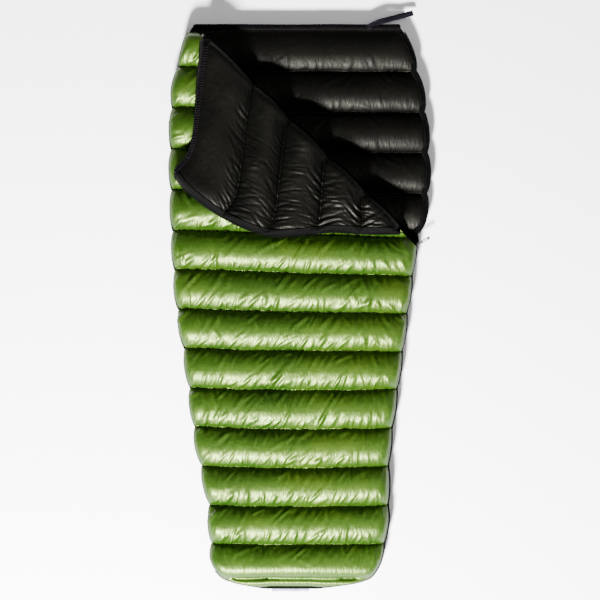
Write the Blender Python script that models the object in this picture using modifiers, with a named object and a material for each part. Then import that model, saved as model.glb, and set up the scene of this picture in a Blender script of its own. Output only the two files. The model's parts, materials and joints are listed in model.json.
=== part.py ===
"""A down camp quilt: a semi-rectangular bag with a full zip, lying shut, its head corner folded back.

Metres. +Y runs from the foot to the head, +X towards the zip, +Z up. The underside lies on z = 0.
"""

import math

import bmesh
import bpy
import numpy as np
from mathutils import Vector

# Overall sizes
LENGTH = 1.920
WIDTH = 0.877
CHAMBERS = 14
FOOT_CHAMBER = 0.152
HEAD_CHAMBER = 0.155
HEAD_PITCH_GROWTH = 1.058  # the chambers above the shoulder are this much longer than the others
HEAD_LONG_CHAMBERS = 4
HEM_REACH = 0.005  # the head binding stands this far past the panels

# Outline of the closed side and of the zip side: shares of LENGTH and of WIDTH
CLOSED_SIDE = (
    (0.000, -0.148), (0.014, -0.283), (0.032, -0.326), (0.067, -0.349), (0.120, -0.352),
    (0.262, -0.407), (0.386, -0.442), (0.528, -0.485), (0.669, -0.500), (0.758, -0.504),
    (0.864, -0.498), (0.935, -0.465), (1.000, -0.418),
)
ZIP_SIDE = (
    (0.000, 0.080), (0.014, 0.260), (0.032, 0.294), (0.067, 0.322), (0.138, 0.341),
    (0.209, 0.342), (0.660, 0.485), (0.740, 0.496), (0.8375, 0.485), (0.935, 0.442), (1.000, 0.386),
)
STRAIGHT_ZIP = ((0.262, 0.3505), (0.616, 0.4515))  # the stretch of the zip side that the slider runs along

# Fold of the head corner, and the outline of the folded corner: metres from the middle and from the head
# edge, drawn for a quilt of this length and width and stretched with them
PATTERN_LENGTH, PATTERN_WIDTH = 1.920, 0.877
FOLD_HEAD = (-0.315, 0.044)
FOLD_SIDE = (0.388, 0.730)
FLAP_HEM = (
    (-0.315, 0.044), (-0.321, 0.103), (-0.336, 0.200), (-0.350, 0.360), (-0.366, 0.450), (-0.428, 0.516),
)
FLAP_ZIP = (
    (-0.428, 0.516), (-0.348, 0.584), (-0.250, 0.623), (-0.107, 0.685), (0.000, 0.697),
    (0.140, 0.683), (0.238, 0.688), (0.323, 0.695), (0.366, 0.722),
)
FLAP_SEAMS = (0.235, 0.41, 0.595, 0.805)  # shares along the fold
FLAP_END = 0.94
FLAP_SHORT = 0.085  # the strip along the folded corner's zip edge that has rows of its own
FOLD_CLEAR = 0.012  # from the fold's axis to the solids on both sides of it

# Heights
FABRIC = 0.0010
CLEAR = 0.0003
BOTTOM_EDGE_SHELL, BOTTOM_EDGE_LINING = 0.0360, 0.0385
BOTTOM_SEAM_LIFT = 0.006
BOTTOM_LINING_SEAM, BOTTOM_LINING_CREST = 0.040, 0.049
TOP_LINING = 0.0515
TOP_EDGE_SHELL = 0.0545
TOP_SHELL_SEAM, TOP_SHELL_CREST = 0.078, 0.109
HINGE_Z = 0.0505
FOLD_Z = 0.1108
FLAP_BASE = 0.1130
FLAP_EDGE_LINING = 0.1155
FLAP_SEAM, FLAP_CREST = 0.134, 0.158
EDGE_MARGIN = 0.018  # flat strip along each free edge, which takes the tape or the binding
EDGE_RISE = 0.080  # past it a panel reaches its full loft over this distance

# Down fill and baffle walls
FILL_MARGIN = 0.060
FILL_WALL_GAP = 0.012
FILL_SEAM_GAP = 0.010
BOTTOM_FILL, TOP_FILL, FLAP_FILL = (0.0235, 0.020), (0.0710, 0.028), (0.1300, 0.020)  # middle height, loft
FILL_RIM = 0.004
WALL = 0.0010
WALL_INSET = 0.067  # from the flat strip of an edge to the ends of the walls
WALL_MARGIN = EDGE_MARGIN + WALL_INSET
WALL_CLEAR = 0.0025  # between a wall's lower edge and the fabric under it
FACET_CLEAR = 0.000323  # the same for the bottom panel's walls, over the highest facet of its shell
BAFFLE_SHARE = 0.80  # of the height between lining and shell at a seam

# Zip
TAPE = 0.0006
TAPE_INSIDE, TAPE_OUTSIDE = 0.013, 0.0034
COIL_RADIUS = 0.0013
COIL_GAP_TO_TAPE = 0.0003  # from the tape's edge to the coil
COIL_OUT = TAPE_OUTSIDE + COIL_GAP_TO_TAPE + COIL_RADIUS
BOTTOM_COIL_Z = 0.0450
COIL_GAP = 0.0003
ZIP_STEP = 0.062  # between the points of the tape and the coil where the edge bends
ZIP_LAST_Y = 0.055  # where the chain ends on the closed side
FLAP_COIL_LIFT = 0.0015  # from the folded corner's lining to the middle of its coil
FLAP_COIL_Z = FLAP_EDGE_LINING + FABRIC + FLAP_COIL_LIFT
FLAP_CHAIN = (0.14, 0.86)  # the stretch of the folded corner's zip edge that has tape and coil
SLIDER_LENGTH, SLIDER_HEIGHT, SLIDER_DEPTH = 0.0125, 0.0104, 0.0056
SLIDER_CLEAR = 0.0004
SLIDER_GRIP = 0.0012  # how far the slider's back reaches past the middle of the coils
SLIDER_BEVEL = 0.0007
PULL_YAW = math.radians(38.0)
PULL_LENGTH, PULL_WIDTH, PULL_THICK = 0.042, 0.0100, 0.0014
PULL_SLOT_LENGTH, PULL_SLOT_WIDTH = 0.020, 0.0030
ARCH_RADIUS, ARCH_WIRE, ARCH_LEG = 0.0026, 0.0009, 0.0040
ARCH_ROOT = 0.0010  # how far the arch's ends are let into the slider
ARCH_STEPS = 8
EYE_LENGTH, EYE_WIDTH, EYE_BAR = 0.0066, 0.0034, 0.0016
STOP = (0.0050, 0.0060, 0.0034)

# Head binding, cord, closure tab, label
HEM_LEG = 0.015
HEM_BEND, HEM_BEND_LOW = 0.0015, 0.0005  # bevels of a folded binding
FLAP_HEM_LEG = 0.010
FLAP_HEM_FROM, FLAP_HEM_SHARE = 0.02, 0.90  # where the gathered binding begins and what it covers
FLAP_STRIP = 0.68014  # width of the flat strip beside the gathered binding, of the edge margin
HEM_PROBE = 0.02
HEM_THICK = 0.0008
CORD_RADIUS = 0.0015
FLAP_HEM_REACH = 0.0080
KNOT_RADIUS = 0.0048
TAB_WIDTH, TAB_THICK, TAB_BASE_LENGTH, TAB_LENGTH = 0.019, 0.0018, 0.044, 0.125
TAB_START = (0.228, 0.0135)  # from the middle, and from the head edge
TAB_BASE_SHARE, HOOK_SHARE = 0.85, 0.8  # widths of the base and of the hook patch, of the strap's
TAB_BASE_GAP, TAB_HINGE_GAP = 0.0012, 0.0045  # from the hinge line to the base and to the strap
CLOTH_BEVEL = 0.0003
TAB_YAW_BASE, TAB_YAW = math.radians(27.0), math.radians(16.0)
TAB_DROP = math.radians(9.0)
HOOK_LENGTH, HOOK_THICK = 0.040, 0.0012
LABEL = (0.126, 0.013, 0.0008)
LABEL_X = -0.032
LABEL_INSET = 0.0015  # from the foot edge
FOOT_TAB = (0.034, 0.0165, 0.0016)
FOOT_TAB_SHIFT = 0.012  # from the label's middle to the tab's
FOOT_TAB_Y = 0.0025

# Hinge line of the closed side
SIDE_SLOPE = -0.050
SIDE_CLEAR = 0.006
GUSSET_OUT = 0.0035  # from the panels' edges to the strip of shell that joins them

MATERIALS = {
    "shell_nylon": ((0.075, 0.150, 0.038, 1), 0.42, 0.0),
    "lining_nylon": ((0.012, 0.011, 0.009, 1), 0.45, 0.0),
    "down": ((0.80, 0.78, 0.72, 1), 0.95, 0.0),
    "baffle_mesh": ((0.60, 0.62, 0.58, 1), 0.90, 0.0),
    "hem_binding": ((0.014, 0.013, 0.012, 1), 0.55, 0.0),
    "zip_tape": ((0.010, 0.010, 0.011, 1), 0.75, 0.0),
    "zip_coil": ((0.020, 0.020, 0.022, 1), 0.40, 0.0),
    "nickel": ((0.70, 0.70, 0.70, 1), 0.25, 1.0),
    "webbing": ((0.022, 0.019, 0.026, 1), 0.60, 0.0),
    "hook_patch": ((0.015, 0.015, 0.016, 1), 0.85, 0.0),
    "cord_braid": ((0.020, 0.020, 0.020, 1), 0.75, 0.0),
    "label_satin": ((0.66, 0.62, 0.74, 1), 0.50, 0.0),
    "tab_satin": ((0.60, 0.42, 0.46, 1), 0.55, 0.0),
}


# ---------------------------------------------------------------- scene and materials

def clear_scene():
    """Remove whatever the file holds."""
    for obj in list(bpy.data.objects):
        bpy.data.objects.remove(obj, do_unlink=True)


def new_collection(name):
    """A collection linked to the scene."""
    collection = bpy.data.collections.new(name)
    bpy.context.scene.collection.children.link(collection)
    return collection


def make_materials():
    """One Principled material for each finish."""
    made = {}
    for name, (colour, roughness, metallic) in MATERIALS.items():
        material = bpy.data.materials.new(name)
        material.use_nodes = True
        shader = material.node_tree.nodes["Principled BSDF"]
        shader.inputs["Base Color"].default_value = colour
        shader.inputs["Roughness"].default_value = roughness
        shader.inputs["Metallic"].default_value = metallic
        made[name] = material
    return made


def add_object(name, data, finish, parent=None):
    """An object in the quilt's collection, with its material and its parent."""
    obj = bpy.data.objects.new(name, data)
    PARTS.objects.link(obj)
    obj.data.materials.append(FINISH[finish])
    obj.parent = parent
    return obj


def add_empty(name, location, parent=None, yaw=0.0):
    """A parent empty at a joint, placed in the quilt's own axes."""
    empty = bpy.data.objects.new(name, None)
    PARTS.objects.link(empty)
    empty.parent = parent
    base = parent["place"] if parent else (0.0, 0.0, 0.0)
    empty["place"] = tuple(location)
    empty.location = Vector(location) - Vector(base)
    empty.rotation_euler = (0.0, 0.0, yaw)
    return empty


def offset_of(parent):
    """Where a parent empty stands, so that a mesh can be drawn in the quilt's axes."""
    return Vector(parent["place"])


# ---------------------------------------------------------------- curves and outlines

def monotone(points, value):
    """The monotone cubic through (key, value) points, so that an outline never overshoots."""
    keys = np.array([p[0] for p in points])
    heights = np.array([p[1] for p in points])
    slopes = np.diff(heights) / np.diff(keys)
    tangents = np.zeros(len(points))
    tangents[0], tangents[-1] = slopes[0], slopes[-1]
    for i in range(1, len(points) - 1):
        if slopes[i - 1] * slopes[i] > 0:
            tangents[i] = 2 * slopes[i - 1] * slopes[i] / (slopes[i - 1] + slopes[i])
    value = min(max(value, keys[0]), keys[-1])
    i = min(int(np.searchsorted(keys, value, side="right")) - 1, len(points) - 2)
    span = keys[i + 1] - keys[i]
    t = (value - keys[i]) / span
    start = (1 + 2 * t) * (1 - t) ** 2 * heights[i] + t * (1 - t) ** 2 * span * tangents[i]
    end = t * t * (3 - 2 * t) * heights[i + 1] + t * t * (t - 1) * span * tangents[i + 1]
    return start + end


def closed_x(y):
    """X of the closed side at a distance y from the foot."""
    return WIDTH * monotone(CLOSED_SIDE, y / LENGTH)


def zip_x(y):
    """X of the zip side; straight where the slider runs."""
    (low, x_low), (high, x_high) = STRAIGHT_ZIP
    share = y / LENGTH
    if low <= share <= high:
        return WIDTH * (x_low + (x_high - x_low) * (share - low) / (high - low))
    return WIDTH * monotone(tuple(sorted(ZIP_SIDE + STRAIGHT_ZIP)), share)


def seam_positions():
    """Y of the foot, of each seam, and of the head end of the panels."""
    head = LENGTH - HEM_REACH
    short = CHAMBERS - 2 - HEAD_LONG_CHAMBERS
    pitch = (head - FOOT_CHAMBER - HEAD_CHAMBER) / (short + HEAD_LONG_CHAMBERS * HEAD_PITCH_GROWTH)
    places = [0.0, FOOT_CHAMBER]
    for i in range(CHAMBERS - 2):
        places.append(places[-1] + pitch * (1.0 if i < short else HEAD_PITCH_GROWTH))
    return places + [head]


def from_head(point):
    """A point of the corner's pattern, given from the head edge, in the quilt's axes."""
    return Vector((point[0] * WIDTH / PATTERN_WIDTH, LENGTH - point[1] * LENGTH / PATTERN_LENGTH))


def polyline_at(points, share):
    """The point at a share of a polyline's length, after one pass of corner cutting."""
    points = np.array(points, float)
    for _ in range(2):
        cut = [points[0]]
        for a, b in zip(points[:-1], points[1:]):
            cut += [0.75 * a + 0.25 * b, 0.25 * a + 0.75 * b]
        points = np.array(cut + [points[-1]])
    along = np.concatenate([[0], np.cumsum(np.linalg.norm(np.diff(points, axis=0), axis=1))])
    at = share * along[-1]
    return Vector((float(np.interp(at, along, points[:, 0])), float(np.interp(at, along, points[:, 1]))))


def shifted_path(points, outward):
    """A path moved sideways to its left, outwards where it runs with the quilt on its right."""
    moved = []
    for i, point in enumerate(points):
        before = points[max(i - 1, 0)]
        after = points[min(i + 1, len(points) - 1)]
        along = (after - before).normalized()
        moved.append(point + Vector((-along.y, along.x)) * outward)
    return moved


# ---------------------------------------------------------------- heights of the panels

def distance_to(point, paths):
    """The least distance from a point to some polylines."""
    best = math.inf
    for path in paths:
        start, end = path[:-1], path[1:]
        step = end - start
        share = ((point - start) * step).sum(1) / np.maximum((step * step).sum(1), 1e-12)
        nearest = start + np.clip(share, 0, 1)[:, None] * step
        best = min(best, float(np.linalg.norm(nearest - point, axis=1).min()))
    return best


def loft(distance):
    """0 on the flat strip at an edge, rising in a quarter ellipse to 1."""
    t = min(max((distance - EDGE_MARGIN) / EDGE_RISE, 0.0), 1.0)
    return math.sqrt(t * (2 - t))


def tube(share):
    """The puffed section of a chamber: 0 at its seams and 1 in the middle."""
    return math.sin(math.pi * min(max(share, 0.0), 1.0)) ** 0.6


def chamber_share(y):
    """How far y lies between the two seams of its chamber."""
    index = min(int(np.searchsorted(SEAMS, y, side="right")) - 1, CHAMBERS - 1)
    index = max(index, 0)
    return (y - SEAMS[index]) / (SEAMS[index + 1] - SEAMS[index])


def bottom_shell_z(x, y):
    """Underside of the bottom panel: flat under each chamber, lifted at the seams and at the edges."""
    share = chamber_share(y)
    lift = BOTTOM_SEAM_LIFT * max(0.0, 1 - min(share, 1 - share) / 0.2)
    rise = loft(distance_to(np.array((x, y)), BOTTOM_EDGES))
    return BOTTOM_EDGE_SHELL * (1 - rise) + lift * rise


def bottom_lining_z(x, y):
    """Upper face of the bottom panel, underneath its fabric."""
    rise = loft(distance_to(np.array((x, y)), BOTTOM_EDGES))
    full = BOTTOM_LINING_SEAM + (BOTTOM_LINING_CREST - BOTTOM_LINING_SEAM) * tube(chamber_share(y))
    return BOTTOM_EDGE_LINING + (full - BOTTOM_EDGE_LINING) * rise


def top_shell_z(x, y):
    """Upper face of the top panel; it stays full where it turns over at the fold."""
    rise = loft(distance_to(np.array((x, y)), TOP_EDGES))
    full = TOP_SHELL_SEAM + (TOP_SHELL_CREST - TOP_SHELL_SEAM) * tube(chamber_share(y))
    return TOP_EDGE_SHELL + (full - TOP_EDGE_SHELL) * rise


def flap_lining_z(x, y, share):
    """Upper face of the folded corner; share runs along the fold."""
    rise = loft(distance_to(np.array((x, y)), FLAP_EDGES))
    borders = (0.0,) + FLAP_SEAMS + (1.0,)
    index = min(int(np.searchsorted(borders, share, side="right")) - 1, len(borders) - 2)
    puff = tube((share - borders[index]) / (borders[index + 1] - borders[index]))
    full = FLAP_SEAM + (FLAP_CREST - FLAP_SEAM) * puff
    return FLAP_EDGE_LINING + (full - FLAP_EDGE_LINING) * rise


# ---------------------------------------------------------------- meshes

def mapped_grid(columns, rows, place):
    """A grid mesh whose corner (i, j) is put at place(columns[i], rows[j])."""
    mesh = bmesh.new()
    bmesh.ops.create_grid(mesh, x_segments=len(columns) - 1, y_segments=len(rows) - 1, size=1.0)
    for vertex in mesh.verts:
        i = round((vertex.co.x + 1) / 2 * (len(columns) - 1))
        j = round((vertex.co.y + 1) / 2 * (len(rows) - 1))
        vertex.co = place(columns[i], rows[j])
    return mesh


def finish_mesh(mesh, name, finish, parent):
    """Turn a bmesh drawn in the quilt's axes into an object under its parent."""
    bmesh.ops.translate(mesh, verts=mesh.verts, vec=-offset_of(parent))
    data = bpy.data.meshes.new(name)
    mesh.to_mesh(data)
    mesh.free()
    return add_object(name, data, finish, parent)


def add_sheet(name, columns, rows, place, thickness, finish, parent):
    """A fabric sheet: an open mapped grid, thickened upwards."""
    obj = finish_mesh(mapped_grid(columns, rows, place), name, finish, parent)
    solid = obj.modifiers.new("thickness", "SOLIDIFY")
    solid.thickness = thickness
    solid.offset = 1.0
    solid.use_even_offset = False
    return obj


def add_pad(name, columns, rows, low, high, finish, parent):
    """A closed pad between two mapped surfaces."""
    mesh = mapped_grid(columns, rows, high)
    lower = mapped_grid(columns, rows, low)
    targets = [vertex.co.copy() for vertex in lower.verts]
    lower.free()
    upper = list(mesh.verts)
    faces = list(mesh.faces)
    for i, vertex in enumerate(upper):
        vertex.index = i
    made = bmesh.ops.extrude_face_region(mesh, geom=faces, use_keep_orig=True)
    mesh.verts.ensure_lookup_table()
    partner = {tuple(round(c, 7) for c in vertex.co): i for i, vertex in enumerate(upper)}
    for item in made["geom"]:
        if isinstance(item, bmesh.types.BMVert):
            item.co = targets[partner[tuple(round(c, 7) for c in item.co)]]
    bmesh.ops.recalc_face_normals(mesh, faces=mesh.faces)
    return finish_mesh(mesh, name, finish, parent)


def mesh_of_curve(curve_object):
    """A curve's evaluated shape as a welded mesh object in its place."""
    bpy.context.view_layer.update()
    evaluated = curve_object.evaluated_get(bpy.context.evaluated_depsgraph_get())
    data = bpy.data.meshes.new_from_object(evaluated)
    mesh = bmesh.new()
    mesh.from_mesh(data)
    bmesh.ops.remove_doubles(mesh, verts=mesh.verts, dist=1e-6)
    bmesh.ops.recalc_face_normals(mesh, faces=mesh.faces)
    mesh.to_mesh(data)
    mesh.free()
    name = curve_object.name
    made = bpy.data.objects.new(name + "_mesh", data)
    for collection in curve_object.users_collection:
        collection.objects.link(made)
    made.parent = curve_object.parent
    made.matrix_local = curve_object.matrix_local
    bpy.data.objects.remove(curve_object, do_unlink=True)
    made.name = name
    return made


def add_wire(name, points, radius, sides, finish, parent):
    """A round wire along points in the quilt's axes."""
    data = bpy.data.curves.new(name, "CURVE")
    data.dimensions = "3D"
    data.bevel_depth = radius
    data.bevel_resolution = sides
    data.use_fill_caps = True
    spline = data.splines.new("POLY")
    spline.points.add(len(points) - 1)
    base = offset_of(parent)
    for target, point in zip(spline.points, points):
        target.co = (*(Vector(point) - base), 1.0)
    return add_object(name, data, finish, parent)


def add_plate(name, outline, thickness, z_low, finish, parent):
    """A flat outline in the quilt's axes, from z_low upwards."""
    data = bpy.data.curves.new(name, "CURVE")
    data.dimensions = "2D"
    data.fill_mode = "BOTH"
    data.extrude = thickness / 2
    spline = data.splines.new("POLY")
    spline.points.add(len(outline) - 1)
    spline.use_cyclic_u = True
    base = offset_of(parent)
    for target, point in zip(spline.points, outline):
        target.co = (point[0] - base.x, point[1] - base.y, 0.0, 1.0)
    obj = add_object(name, data, finish, parent)
    obj.location.z = z_low + thickness / 2 - base.z
    return obj


def add_box(name, size, centre, finish, parent, yaw=0.0, pitch=0.0, bevel=0.0):
    """A box of a size, its middle at centre, turned about Z and then tipped about its own Y."""
    mesh = bmesh.new()
    bmesh.ops.create_cube(mesh, size=1.0)
    bmesh.ops.scale(mesh, verts=mesh.verts, vec=size)
    data = bpy.data.meshes.new(name)
    mesh.to_mesh(data)
    mesh.free()
    obj = add_object(name, data, finish, parent)
    obj.location = Vector(centre) - offset_of(parent)
    obj.rotation_euler = (0.0, pitch, yaw)
    if bevel:
        edge = obj.modifiers.new("edges", "BEVEL")
        edge.width = bevel
        edge.segments = 1
    return obj


def add_boolean(obj, other, operation):
    """Join or cut with another object, which stays a hidden guide."""
    step = obj.modifiers.new(operation.lower(), "BOOLEAN")
    step.operation = operation
    step.solver = "EXACT"
    step.object = other
    for collection in list(other.users_collection):
        collection.objects.unlink(other)
    GUIDES.objects.link(other)
    other.hide_render = True
    other.display_type = "WIRE"


# ---------------------------------------------------------------- panels

# Columns across a row, as shares of its half width: close together near the edges, where the loft rises
HALF_MARKS = (0.0, 0.10, 0.22, 0.52, 1.0)
ACROSS = HALF_MARKS + tuple(2 - s for s in reversed(HALF_MARKS[:-1]))
ACROSS_FLAT = (0.0, 1.0, 2.0)


def row_marks(shares, first, last, margins):
    """Y of the rows: some in each chamber, and one at the flat strip of the ends."""
    rows = set(margins)
    for low, high in zip(SEAMS[:-1], SEAMS[1:]):
        for share in shares:
            rows.add(low + share * (high - low))
    rows.add(SEAMS[-1])
    kept = sorted(y for y in rows if first < y < last)
    spaced = [first]
    for y in kept:
        if y - spaced[-1] > 0.006:
            spaced.append(y)
    return spaced[:-1] + [last] if last - spaced[-1] < 0.006 else spaced + [last]


def side_to_side(left, right, share):
    """X across a row, for share from 0 to 2: the marks of the left half, then those of the right half."""
    middle = (left + right) / 2
    return left + (middle - left) * share if share <= 1 else right - (right - middle) * (2 - share)


def top_right(y):
    """The top panel ends at the zip side, or at the fold."""
    if y <= FOLD_SIDE_Y:
        return min(zip_x(y), fold_x(y))
    return fold_x(y)


def fold_x(y):
    """X of the solids' limit beside the fold, at y."""
    along = (y - FOLD_A.y) / (FOLD_B.y - FOLD_A.y)
    return FOLD_A.x + (FOLD_B.x - FOLD_A.x) * along - FOLD_CLEAR / abs(FOLD_DIR.y)


def make_panels(bottom, top):
    """Shell and lining of the bottom panel and of the top panel."""
    margins = (EDGE_MARGIN, PANEL_END - EDGE_MARGIN)
    fine = row_marks((0.0, 0.2, 0.5, 0.8), 0.0, PANEL_END, margins)

    def bottom_at(z_of):
        return lambda s, y: Vector((side_to_side(closed_x(y), zip_x(y), s), y, 0.0)) + Vector(
            (0.0, 0.0, z_of(side_to_side(closed_x(y), zip_x(y), s), y))
        )

    def top_at(z_of):
        return lambda s, y: Vector((side_to_side(closed_x(y), top_right(y), s), y, 0.0)) + Vector(
            (0.0, 0.0, z_of(side_to_side(closed_x(y), top_right(y), s), y))
        )

    add_sheet("bottom_shell", ACROSS, fine, bottom_at(bottom_shell_z), FABRIC, "shell_nylon", bottom)
    medium = row_marks((0.0, 0.25, 0.75), 0.0, PANEL_END, margins)
    add_sheet("bottom_lining", ACROSS, medium, bottom_at(bottom_lining_z), FABRIC, "lining_nylon", bottom)
    fine = row_marks((0.0, 0.2, 0.5, 0.8), 0.0, TOP_END, (EDGE_MARGIN,))
    add_sheet("top_shell", ACROSS, fine, top_at(top_shell_z), FABRIC, "shell_nylon", top)
    coarse = row_marks((0.0,), 0.0, TOP_END, (EDGE_MARGIN,))
    flat = top_at(lambda x, y: TOP_LINING)
    add_sheet("top_lining", ACROSS_FLAT, coarse, flat, FABRIC, "lining_nylon", top)


def flap_point(along, down):
    """A point of the folded corner: along the fold and down from it, both from 0 to 1."""
    ridge_a = FOLD_A - FOLD_UP * FOLD_CLEAR
    ridge_b = FOLD_A + (FOLD_B - FOLD_A) * FLAP_END - FOLD_UP * FOLD_CLEAR
    hem = polyline_at(FLAP_HEM_POINTS, down)
    hem_start, corner = FLAP_HEM_POINTS[0], FLAP_HEM_POINTS[-1]
    free = polyline_at(FLAP_ZIP_POINTS, along)
    end = FLAP_ZIP_POINTS[-1]
    hem = hem + (ridge_a - hem_start) * (1 - down)
    ridge = ridge_a.lerp(ridge_b, along)
    last = ridge_b.lerp(end, down)
    flat = (
        ridge_a * (1 - along) * (1 - down)
        + ridge_b * along * (1 - down)
        + corner * (1 - along) * down
        + end * along * down
    )
    return ridge * (1 - down) + free * down + hem * (1 - along) + last * along - flat


def hem_gap_rate():
    """The smallest distance from the head hem gained per share along the fold."""
    points = [flap_point(HEM_PROBE, i / 20) for i in range(1, 20)]
    return min(distance_to(np.array((p.x, p.y)), FLAP_EDGES[:1]) for p in points) / HEM_PROBE


def flap_marks():
    """Shares along the fold: some in each chamber, and one at the flat strip beside the binding."""
    borders = (0.0,) + FLAP_SEAMS + (1.0,)
    marks = [FLAP_STRIP * EDGE_MARGIN / hem_gap_rate()]
    for low, high in zip(borders[:-1], borders[1:]):
        marks += [low + share * (high - low) for share in (0.0, 0.22, 0.5, 0.78)]
    return sorted(marks + [1.0])


def flap_inset(along, inset):
    """The share down from the fold that lies this far inside the zip edge."""
    length = (flap_point(along, 1.0) - flap_point(along, 0.0)).length
    return 1.0 - inset / max(length, FLAP_SHORT)


def make_flap_sheets(flap):
    """The folded corner: its shell turned under, and its lining on top."""
    insets = [FLAP_SHORT, 0.75 * FLAP_SHORT, 0.45 * FLAP_SHORT, 0.028, EDGE_MARGIN, 0.0]
    down = [(share, None) for share in (0.0, 0.2, 0.4, 0.6, 0.8)] + [(None, inset) for inset in insets]

    def spot(mark, along):
        share, inset = mark
        near_edge = flap_inset(along, FLAP_SHORT)
        return flap_point(along, share * near_edge if inset is None else flap_inset(along, inset))

    def lining(mark, along):
        point = spot(mark, along)
        return Vector((point.x, point.y, flap_lining_z(point.x, point.y, along)))

    def shell(mark, along):
        point = spot(mark, along)
        return Vector((point.x, point.y, FLAP_BASE))

    marks = flap_marks()
    add_sheet("flap_shell", down[:-3] + down[-1:], marks, shell, FABRIC, "shell_nylon", flap)
    add_sheet("flap_lining", down, marks, lining, FABRIC, "lining_nylon", flap)


def make_gusset(bottom):
    """The narrow strip of shell that closes the side without a zip."""
    rows = row_marks((0.0, 0.25, 0.5, 0.75), ZIP_LAST_Y + 0.012, TOP_END, ())
    low, high = BOTTOM_EDGE_SHELL - 0.002, HINGE_Z - CLEAR

    def place(side, y):
        return Vector((closed_x(y) - GUSSET_OUT, y, low + (high - low) * side))

    add_sheet("side_gusset", (0.0, 1.0), rows, place, FABRIC, "shell_nylon", bottom)


# ---------------------------------------------------------------- down and baffles

def across_shares(count):
    """Even shares from 0 to 1."""
    return [i / (count - 1) for i in range(count)]


def make_row_fills(prefix, right_of, y_limit, level, parent):
    """One body of down in each chamber of a full-width panel, counted from the head."""
    middle, height = level

    for index in range(CHAMBERS):
        chamber = CHAMBERS - 1 - index
        low = SEAMS[chamber] + (FILL_MARGIN if chamber == 0 else FILL_SEAM_GAP)
        high = SEAMS[chamber + 1] - (FILL_MARGIN if chamber == CHAMBERS - 1 else FILL_SEAM_GAP)
        high = min(high, y_limit)

        def surface(side, low=low, high=high):
            def place(s, t):
                y = low + (high - low) * t
                left = closed_x(y) + WALL_MARGIN + FILL_WALL_GAP
                right = max(right_of(y) - FILL_MARGIN, left + 0.020)
                bulge = (1 - abs(2 * t - 1) ** 2) * (1 - abs(2 * s - 1) ** 6)
                z = middle + side * (FILL_RIM + (height - FILL_RIM) * bulge) / 2
                return Vector((left + (right - left) * s, y, z))

            return place

        name = f"{prefix}_fill_{index + 1:02d}"
        add_pad(name, across_shares(5), (0.0, 0.5, 1.0), surface(-1), surface(1), "down", parent)


def make_flap_fills(flap):
    """One body of down in each full chamber of the folded corner."""
    middle, height = FLAP_FILL
    borders = (0.0,) + FLAP_SEAMS
    for index, (low, high) in enumerate(zip(borders[:-1], borders[1:])):
        first = low + (0.17 if index == 0 else 0.02)
        last = high - 0.02

        def surface(side, first=first, last=last):
            def place(s, t):
                point = flap_point(first + (last - first) * t, 0.10 + 0.55 * s)
                bulge = (1 - abs(2 * t - 1) ** 2) * (1 - abs(2 * s - 1) ** 4)
                z = middle - 0.004 + side * (FILL_RIM + (height - FILL_RIM) * bulge) / 2
                return Vector((point.x, point.y, z))

            return place

        name = f"flap_fill_{index + 1:02d}"
        add_pad(name, across_shares(4), (0.0, 0.5, 1.0), surface(-1), surface(1), "down", flap)


def highest_facet():
    """Height of the bottom shell's facets under the ends of the baffle walls."""
    highest = 0.0
    for y in SEAMS[1:-1]:
        left, right = closed_x(y), zip_x(y)
        across = [side_to_side(left, right, s) for s in ACROSS]
        heights = [bottom_shell_z(x, y) for x in across]
        for x in (left + WALL_MARGIN, right - WALL_MARGIN):
            highest = max(highest, float(np.interp(x, across, heights)))
    return highest


def make_row_baffles(name, right_of, y_limit, base, top, parent):
    """The baffle walls of a full-width panel, on the side wall that joins them along the closed side."""
    seams = [y for y in SEAMS[1:-1] if right_of(y) - closed_x(y) > 3 * WALL_MARGIN and y < y_limit]
    outline = []
    for y in seams:
        left = closed_x(y) + WALL_MARGIN
        right = right_of(y) - WALL_MARGIN
        outline += [
            (left, y - WALL / 2), (right, y - WALL / 2), (right, y + WALL / 2), (left, y + WALL / 2),
        ]
    spine = [(closed_x(y) + WALL_MARGIN - WALL, y) for y in reversed(seams)]
    spine[0] = (spine[0][0], seams[-1] + WALL / 2)
    spine[-1] = (spine[-1][0], seams[0] - WALL / 2)
    add_plate(name, outline + spine, top - base, base, "baffle_mesh", parent)


def wall_top(low, high):
    """Height of a wall's upper edge, between the fabric under it and the seam over it."""
    return low + WALL_CLEAR + (high - low) * BAFFLE_SHARE


def make_flap_baffles(flap):
    """The baffle walls of the folded corner, joined beside the fold."""
    outline = []
    width = WALL / (FOLD_B - FOLD_A).length
    near, far = 0.06, 0.70
    for share in FLAP_SEAMS[:3]:
        outline += [
            flap_point(share - width / 2, near), flap_point(share - width / 2, far),
            flap_point(share + width / 2, far), flap_point(share + width / 2, near),
        ]
    last = flap_point(FLAP_SEAMS[2] + width / 2, near - 0.005)
    first = flap_point(FLAP_SEAMS[0] - width / 2, near - 0.005)
    low = FLAP_BASE + FABRIC
    height = (FLAP_SEAM - low) * BAFFLE_SHARE - WALL_CLEAR
    add_plate("flap_baffles", outline + [last, first], height, low + WALL_CLEAR, "baffle_mesh", flap)


# ---------------------------------------------------------------- zip

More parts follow.
